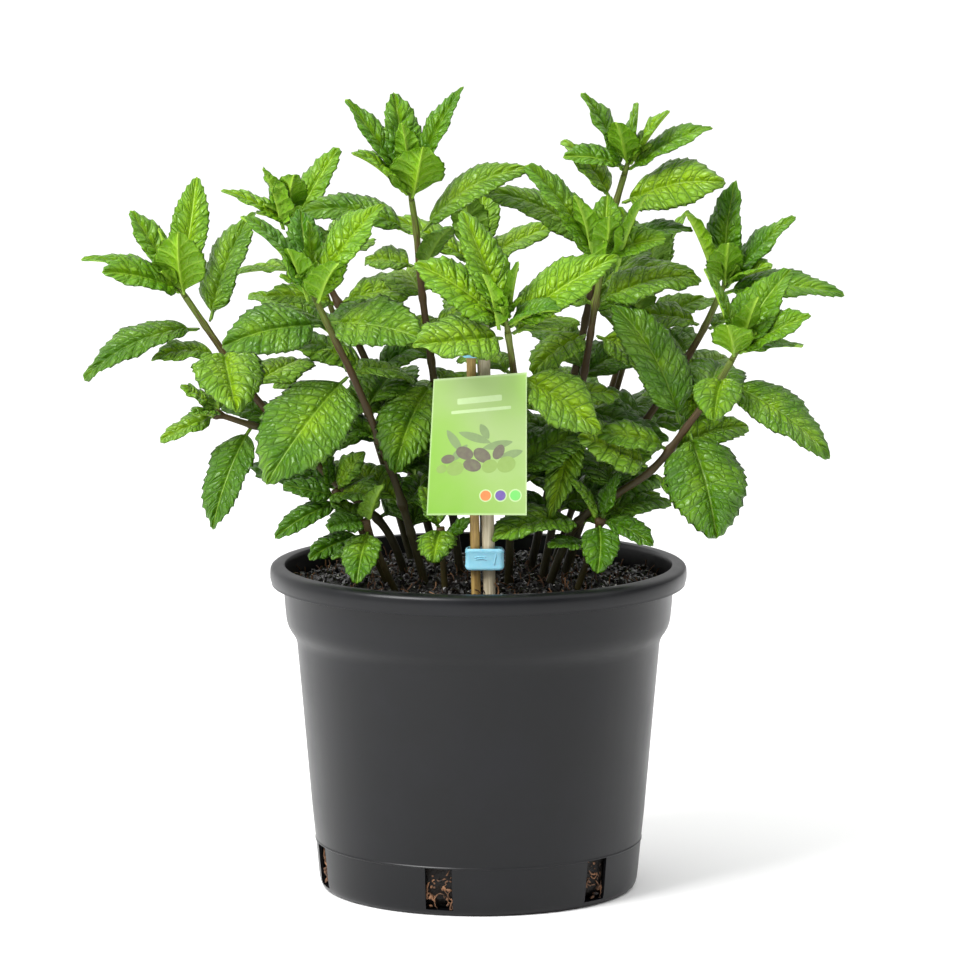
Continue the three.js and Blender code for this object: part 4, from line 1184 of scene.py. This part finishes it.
def rounded_outline(width, depth, radius, steps=8):
    outline = []
    for centre_x, centre_y, start in (
        (width - radius, depth - radius, 0), (-width + radius, depth - radius, 90),
        (-width + radius, -depth + radius, 180), (width - radius, -depth + radius, 270),
    ):
        for k in range(steps + 1):
            a = math.radians(start + 90 * k / steps)
            outline.append((centre_x + radius * math.cos(a), centre_y + radius * math.sin(a)))
    return np.array(outline)


# how far out from the band's face, and how high as a share of its height
CLIP_SECTION = [
    (-1.3, -0.5), (-1.3, 0.5), (-1.0, 0.56), (-0.35, 0.56), (-0.08, 0.53), (0, 0.47), (0, 0.41),
    (-0.14, 0.37), (-0.14, -0.37), (0, -0.41), (0, -0.47), (-0.08, -0.53), (-0.35, -0.56), (-1.0, -0.56),
]


def clip_band(centre, width, depth, height):
    """A band with a rounded section: rings from the inner face, over the top edge, and back under."""
    skin = Skin()
    loops = []
    for inset, level in CLIP_SECTION:
        outline = rounded_outline(width / 2 + inset, depth / 2 + inset, 2.2 + 0.4 * inset)
        corner = 1 - 0.2 * np.abs(outline[:, 0] / (width / 2)) ** 12
        z = centre[2] + level * height * 0.88 * corner
        loops.append(np.column_stack([outline + np.array(centre[:2]), z]))
    sides = len(loops[0])
    points = np.concatenate(loops)
    faces = []
    for k in range(len(loops)):
        n = (k + 1) % len(loops)
        for i in range(sides):
            j = (i + 1) % sides
            faces.append((k * sides + i, n * sides + i, n * sides + j, k * sides + j))
    skin.join(points, faces, 0)
    for k, (dx, dz, half) in enumerate(((-2.2, 1.0, 2.3), (-1.6, 0.1, 2.6), (4.6, 0.2, 0.45))):
        across = np.linspace(-half, half, 9)
        lift = 0.35 * np.cos(across / half * math.pi / 2) if k < 2 else 2.4 * across / half
        front = np.full(9, centre[1] - depth / 2 + 0.1)
        ridge = np.column_stack([centre[0] + dx + across, front, centre[2] + dz + lift])
        points, ridge_faces = tube(ridge, 0.32, sides=8)
        skin.join(points, ridge_faces, 0)
    return skin


for name, centre, width, depth, height in (
    ("clip_lower", (2.8, -57.4, 160), 17.4, 8.6, 9.8), ("clip_upper", (-0.3, -55.6, 255), 14.4, 8.8, 9.6),
):
    band = clip_band(centre, width, depth, height).make(name + "_band", [CLIP])
    smooth_by_angle(band, 40)
    finish(band, "clip_plastic", name)
print("clips ready")

# %% [markdown]
# ## Hanging label
# The label is thin printed film that has taken a bend. Its print is built as shapes a few hundredths of a
# millimetre proud of the card, laid through the same bend: a faint spray of leaves and berries, two plain
# bars where a shop prints its words, and three dots with pale rings. The card's own colour drifts from a
# warm to a fresher green.

# %% Hanging label
CARD_WIDTH, CARD_HEIGHT = 44.5, 64
CARD_CENTRE = (-0.8, -64.4, 212.6)


def on_card(u, v, lift):
    """A point of the card from places across and up it, each between 0 and 1, with its bend."""
    u, v = np.asarray(u, float), np.asarray(v, float)
    left, bent = 1 - u, (1 - u) * v
    x = (u - 0.5) * CARD_WIDTH + 3.2 * bent
    y = 3 * bent**2 - 2 * (left - 0.5) ** 2 - lift
    z = (v - 0.5) * CARD_HEIGHT - 3.5 * bent
    return np.stack(np.broadcast_arrays(x, y, z), -1) + np.array(CARD_CENTRE)


def print_material(name, colour, roughness=0.4):
    material, tree, shader = new_material(name, Roughness=roughness, IOR=1.5)
    noise = add(tree, "TexNoise", Vector=add(tree, "TexCoord").outputs["Object"], Scale=500.0, Detail=3.0)
    tint = add(
        tree, "Mix", {"data_type": "RGBA"},
        i0=add(tree, "Math", {"operation": "MULTIPLY"}, i0=noise, i1=0.35), i6=linear(colour),
        i7=linear("#93ad6c"),
    )
    plug(shader, Base_Color=tint)
    return material


CARD, tree, shader = new_material("polypropylene film, printed, satin", Roughness=0.36, IOR=1.49)
spot = carried(tree, "card_place")
cloud = add(tree, "TexNoise", Vector=add(tree, "TexCoord").outputs["Object"], Scale=38.0, Detail=3.0)
fresh = add(
    tree, "Math", {"operation": "MULTIPLY_ADD"},
    i0=spot[1], i1=0.55, i2=add(tree, "Math", {"operation": "MULTIPLY"}, i0=spot[0], i1=0.45),
)
fresh = add(
    tree, "Math", {"operation": "MULTIPLY_ADD"},
    i0=add(tree, "Math", {"operation": "SUBTRACT"}, i0=cloud, i1=0.5), i1=0.7, i2=fresh,
)
card_colour = add(tree, "ValToRGB", i0=fresh)
set_stops(card_colour.color_ramp, [(0.0, "#79ad33"), (0.35, "#87ac52"), (0.65, "#96b06f"), (1.0, "#8fb55a")])
aside = add(
    tree, "Math", {"operation": "ABSOLUTE"},
    i0=add(tree, "Math", {"operation": "SUBTRACT"}, i0=spot[0], i1=0.5),
)
upward = add(
    tree, "Math", {"operation": "ABSOLUTE"},
    i0=add(tree, "Math", {"operation": "SUBTRACT"}, i0=spot[1], i1=0.5),
)
edge = add(
    tree, "MapRange",
    Value=add(tree, "Math", {"operation": "MAXIMUM"}, i0=aside, i1=upward), From_Min=0.482, From_Max=0.492,
    To_Min=0.0, To_Max=0.5,
)
card_colour = add(tree, "Mix", {"data_type": "RGBA"}, i0=edge, i6=card_colour, i7=linear("#bccfa2"))
plug(shader, Base_Color=card_colour)
ripple = add(tree, "TexNoise", Vector=add(tree, "TexCoord").outputs["Object"], Scale=60.0, Detail=2.0)
plug(shader, Normal=add(tree, "Bump", Strength=0.3, Distance=0.5 * MM, Height=ripple))

label = Skin()
U, V = np.meshgrid(np.linspace(0, 1, 37), np.linspace(0, 1, 53), indexing="ij")
front, back = on_card(U, V, 0.25), on_card(U, V, -0.25)
n_u, n_v = U.shape
index = np.arange(n_u * n_v).reshape(n_u, n_v)
corners = [index[:-1, :-1], index[1:, :-1], index[1:, 1:], index[:-1, 1:]]
faces_front = np.stack(corners, -1).reshape(-1, 4).tolist()
faces_back = [tuple(i + n_u * n_v for i in f[::-1]) for f in faces_front]
border = np.concatenate([index[:-1, 0], index[-1, :-1], index[:0:-1, -1], index[0, :0:-1]])
rim = [(int(b), int(a), int(a) + n_u * n_v, int(b) + n_u * n_v) for a, b in zip(border, np.roll(border, -1))]
card_place = np.stack([U, V, 0 * U], -1).reshape(-1, 3)
label.join(
    np.concatenate([front.reshape(-1, 3), back.reshape(-1, 3)]), faces_front + faces_back + rim, 0,
    card_place=np.concatenate([card_place, card_place]),
)


def print_shape(u, v, half_u, half_v, turn, slot, lift, power=1.0):
    """An oval printed at (u, v), half sizes in millimetres. A power above 1 points it, below 1 squares it."""
    a = np.linspace(0, 2 * math.pi, 28, endpoint=False)
    x = half_u * np.sign(np.cos(a)) * np.abs(np.cos(a)) ** min(power, 1)
    y = half_v * np.sign(np.sin(a)) * np.abs(np.sin(a)) ** power
    c, s = math.cos(math.radians(turn)), math.sin(math.radians(turn))
    rim_u = u + (x * c - y * s) / CARD_WIDTH
    rim_v = v + (x * s + y * c) / CARD_HEIGHT
    inner = [on_card(u + (rim_u - u) * k, v + (rim_v - v) * k, lift) for k in (1.0, 0.5)]
    base = on_card(rim_u, rim_v, 0.2)
    points = np.concatenate([base, inner[0], inner[1], [on_card(u, v, lift)]])
    n = len(a)
    faces = []
    for k in (0, 1):
        for i in range(n):
            j = (i + 1) % n
            faces.append((k * n + i, k * n + j, (k + 1) * n + j, (k + 1) * n + i))
    faces += [(2 * n + i, 2 * n + (i + 1) % n, 3 * n) for i in range(n)]
    faces.append(tuple(range(n - 1, -1, -1)))
    label.join(points, faces, slot)


INKS = [
    print_material("ink, grey green leaf", "#6f8458"),
    print_material("ink, dark berry", "#574249", 0.3),
    print_material("ink, pale berry", "#7d9a48", 0.3),
    print_material("ink, pale line", "#b6cf98"),
    print_material("ink, orange", "#d9703a"),
    print_material("ink, violet", "#5b2a9a"),
    print_material("ink, fresh green", "#62c45c"),
]
GREY_GREEN, DARK, PALE, LINE, FIRST_DOT = range(1, 6)  # the card itself is 0
# the spray: place across and up the card, size in millimetres and turn in degrees
LEAVES = [
    (0.25, 0.54, 6.5, 125), (0.46, 0.56, 8, -20), (0.7, 0.5, 7, 10),
    (0.84, 0.43, 5.5, 15), (0.3, 0.45, 5.5, 45), (0.56, 0.6, 4, -60),
]
DARK_BERRIES = [
    (0.36, 0.45, 4.2, -25), (0.54, 0.43, 4.4, -35), (0.19, 0.41, 3.1, 10), (0.71, 0.45, 3.6, 60),
    (0.44, 0.36, 4.2, -15),
]
PALE_BERRIES = [(0.27, 0.34, 3.9), (0.62, 0.35, 3.6), (0.79, 0.36, 4.3), (0.13, 0.34, 2.4)]
for u, v, long, turn in LEAVES:
    print_shape(u, v, long, 1.9, turn, GREY_GREEN, 0.27, power=1.6)
for u, v, size, turn in DARK_BERRIES:
    print_shape(u, v, size, size * 0.68, turn, DARK, 0.29)
for u, v, size in PALE_BERRIES:
    print_shape(u, v, size, size * 0.84, 20, PALE, 0.31)
print_shape(0.5, 0.83, 10.5, 1.4, 2, LINE, 0.27, power=0.15)
print_shape(0.52, 0.755, 14, 0.75, 2, LINE, 0.27, power=0.15)
for k, u in enumerate((0.585, 0.735, 0.885)):
    print_shape(u, 0.14, 2.9, 2.9, 0, LINE, 0.27)
    print_shape(u, 0.14, 2.35, 2.35, 0, FIRST_DOT + k, 0.3)
card = label.make("label_print", [CARD] + INKS)
smooth_by_angle(card, 30)
finish(card, "label_card", "label")
print("label:", len(card.data.polygons), "faces")

# %% [markdown]
# ## Floor and light
# The plant stands on a plain pale floor in soft studio light. A large soft light stands high on the left, a
# weaker one on the right keeps the shaded leaves readable, and a bright surround shows as long soft
# highlights on the waxy leaves and on the pot. The surround is brightest above and on the left, where a
# soft box would be; the camera itself sees it as plain white.

# %% Floor and light
floor_mesh = bpy.data.meshes.new("floor")
floor_mesh.from_pydata([(-30, -30, 0), (30, -30, 0), (30, 30, 0), (-30, 30, 0)], [], [(0, 1, 2, 3)])
floor = bpy.data.objects.new("floor", floor_mesh)
floor.location.z = -0.0002
scene.collection.objects.link(floor)
FLOOR, tree, shader = new_material("floor, matt white board", Roughness=0.9)
plug(shader, Base_Color=linear("#fdfdfd"))
floor_mesh.materials.append(FLOOR)

world = bpy.data.worlds.new("studio")
world.use_nodes = True
scene.world = world
tree = world.node_tree
direction = add(tree, "SeparateXYZ", i0=add(tree, "TexCoord").outputs["Generated"]).outputs
overhead = add(tree, "MapRange", Value=direction[2], From_Min=0.12, From_Max=0.8, To_Min=0.0, To_Max=1.25)
from_left = add(tree, "MapRange", Value=direction[0], From_Min=0.1, From_Max=-0.95, To_Min=0.0, To_Max=1.1)
behind = add(tree, "MapRange", Value=direction[1], From_Min=0.2, From_Max=0.9, To_Min=0.0, To_Max=0.35)
soft_box = add(
    tree, "Math", {"operation": "ADD"},
    i0=add(tree, "Math", {"operation": "MAXIMUM"}, i0=overhead, i1=from_left), i1=behind,
)
surround = add(tree, "Math", {"operation": "ADD"}, i0=soft_box, i1=0.07)
seen = add(tree, "LightPath").outputs["Is Camera Ray"]
strength = add(tree, "Math", {"operation": "MAXIMUM"}, i0=surround, i1=seen)
plug(tree.nodes["Background"], Color=(1, 1, 1, 1), Strength=strength)


def area_light(name, place, aim, size, watts):
    data = bpy.data.lights.new(name, "AREA")
    data.shape = "RECTANGLE"
    data.size, data.size_y = size
    data.energy = watts
    light = bpy.data.objects.new(name, data)
    light.location = place
    light.rotation_euler = (Vector(aim) - Vector(place)).to_track_quat("-Z", "Y").to_euler()
    scene.collection.objects.link(light)


area_light("key", (-1.0, -0.9, 1.45), (0, 0, 0.22), (0.9, 0.9), 42)
area_light("right", (1.5, -0.6, 0.9), (0, 0, 0.2), (0.8, 1.2), 3)
scene.view_settings.view_transform = "Standard"
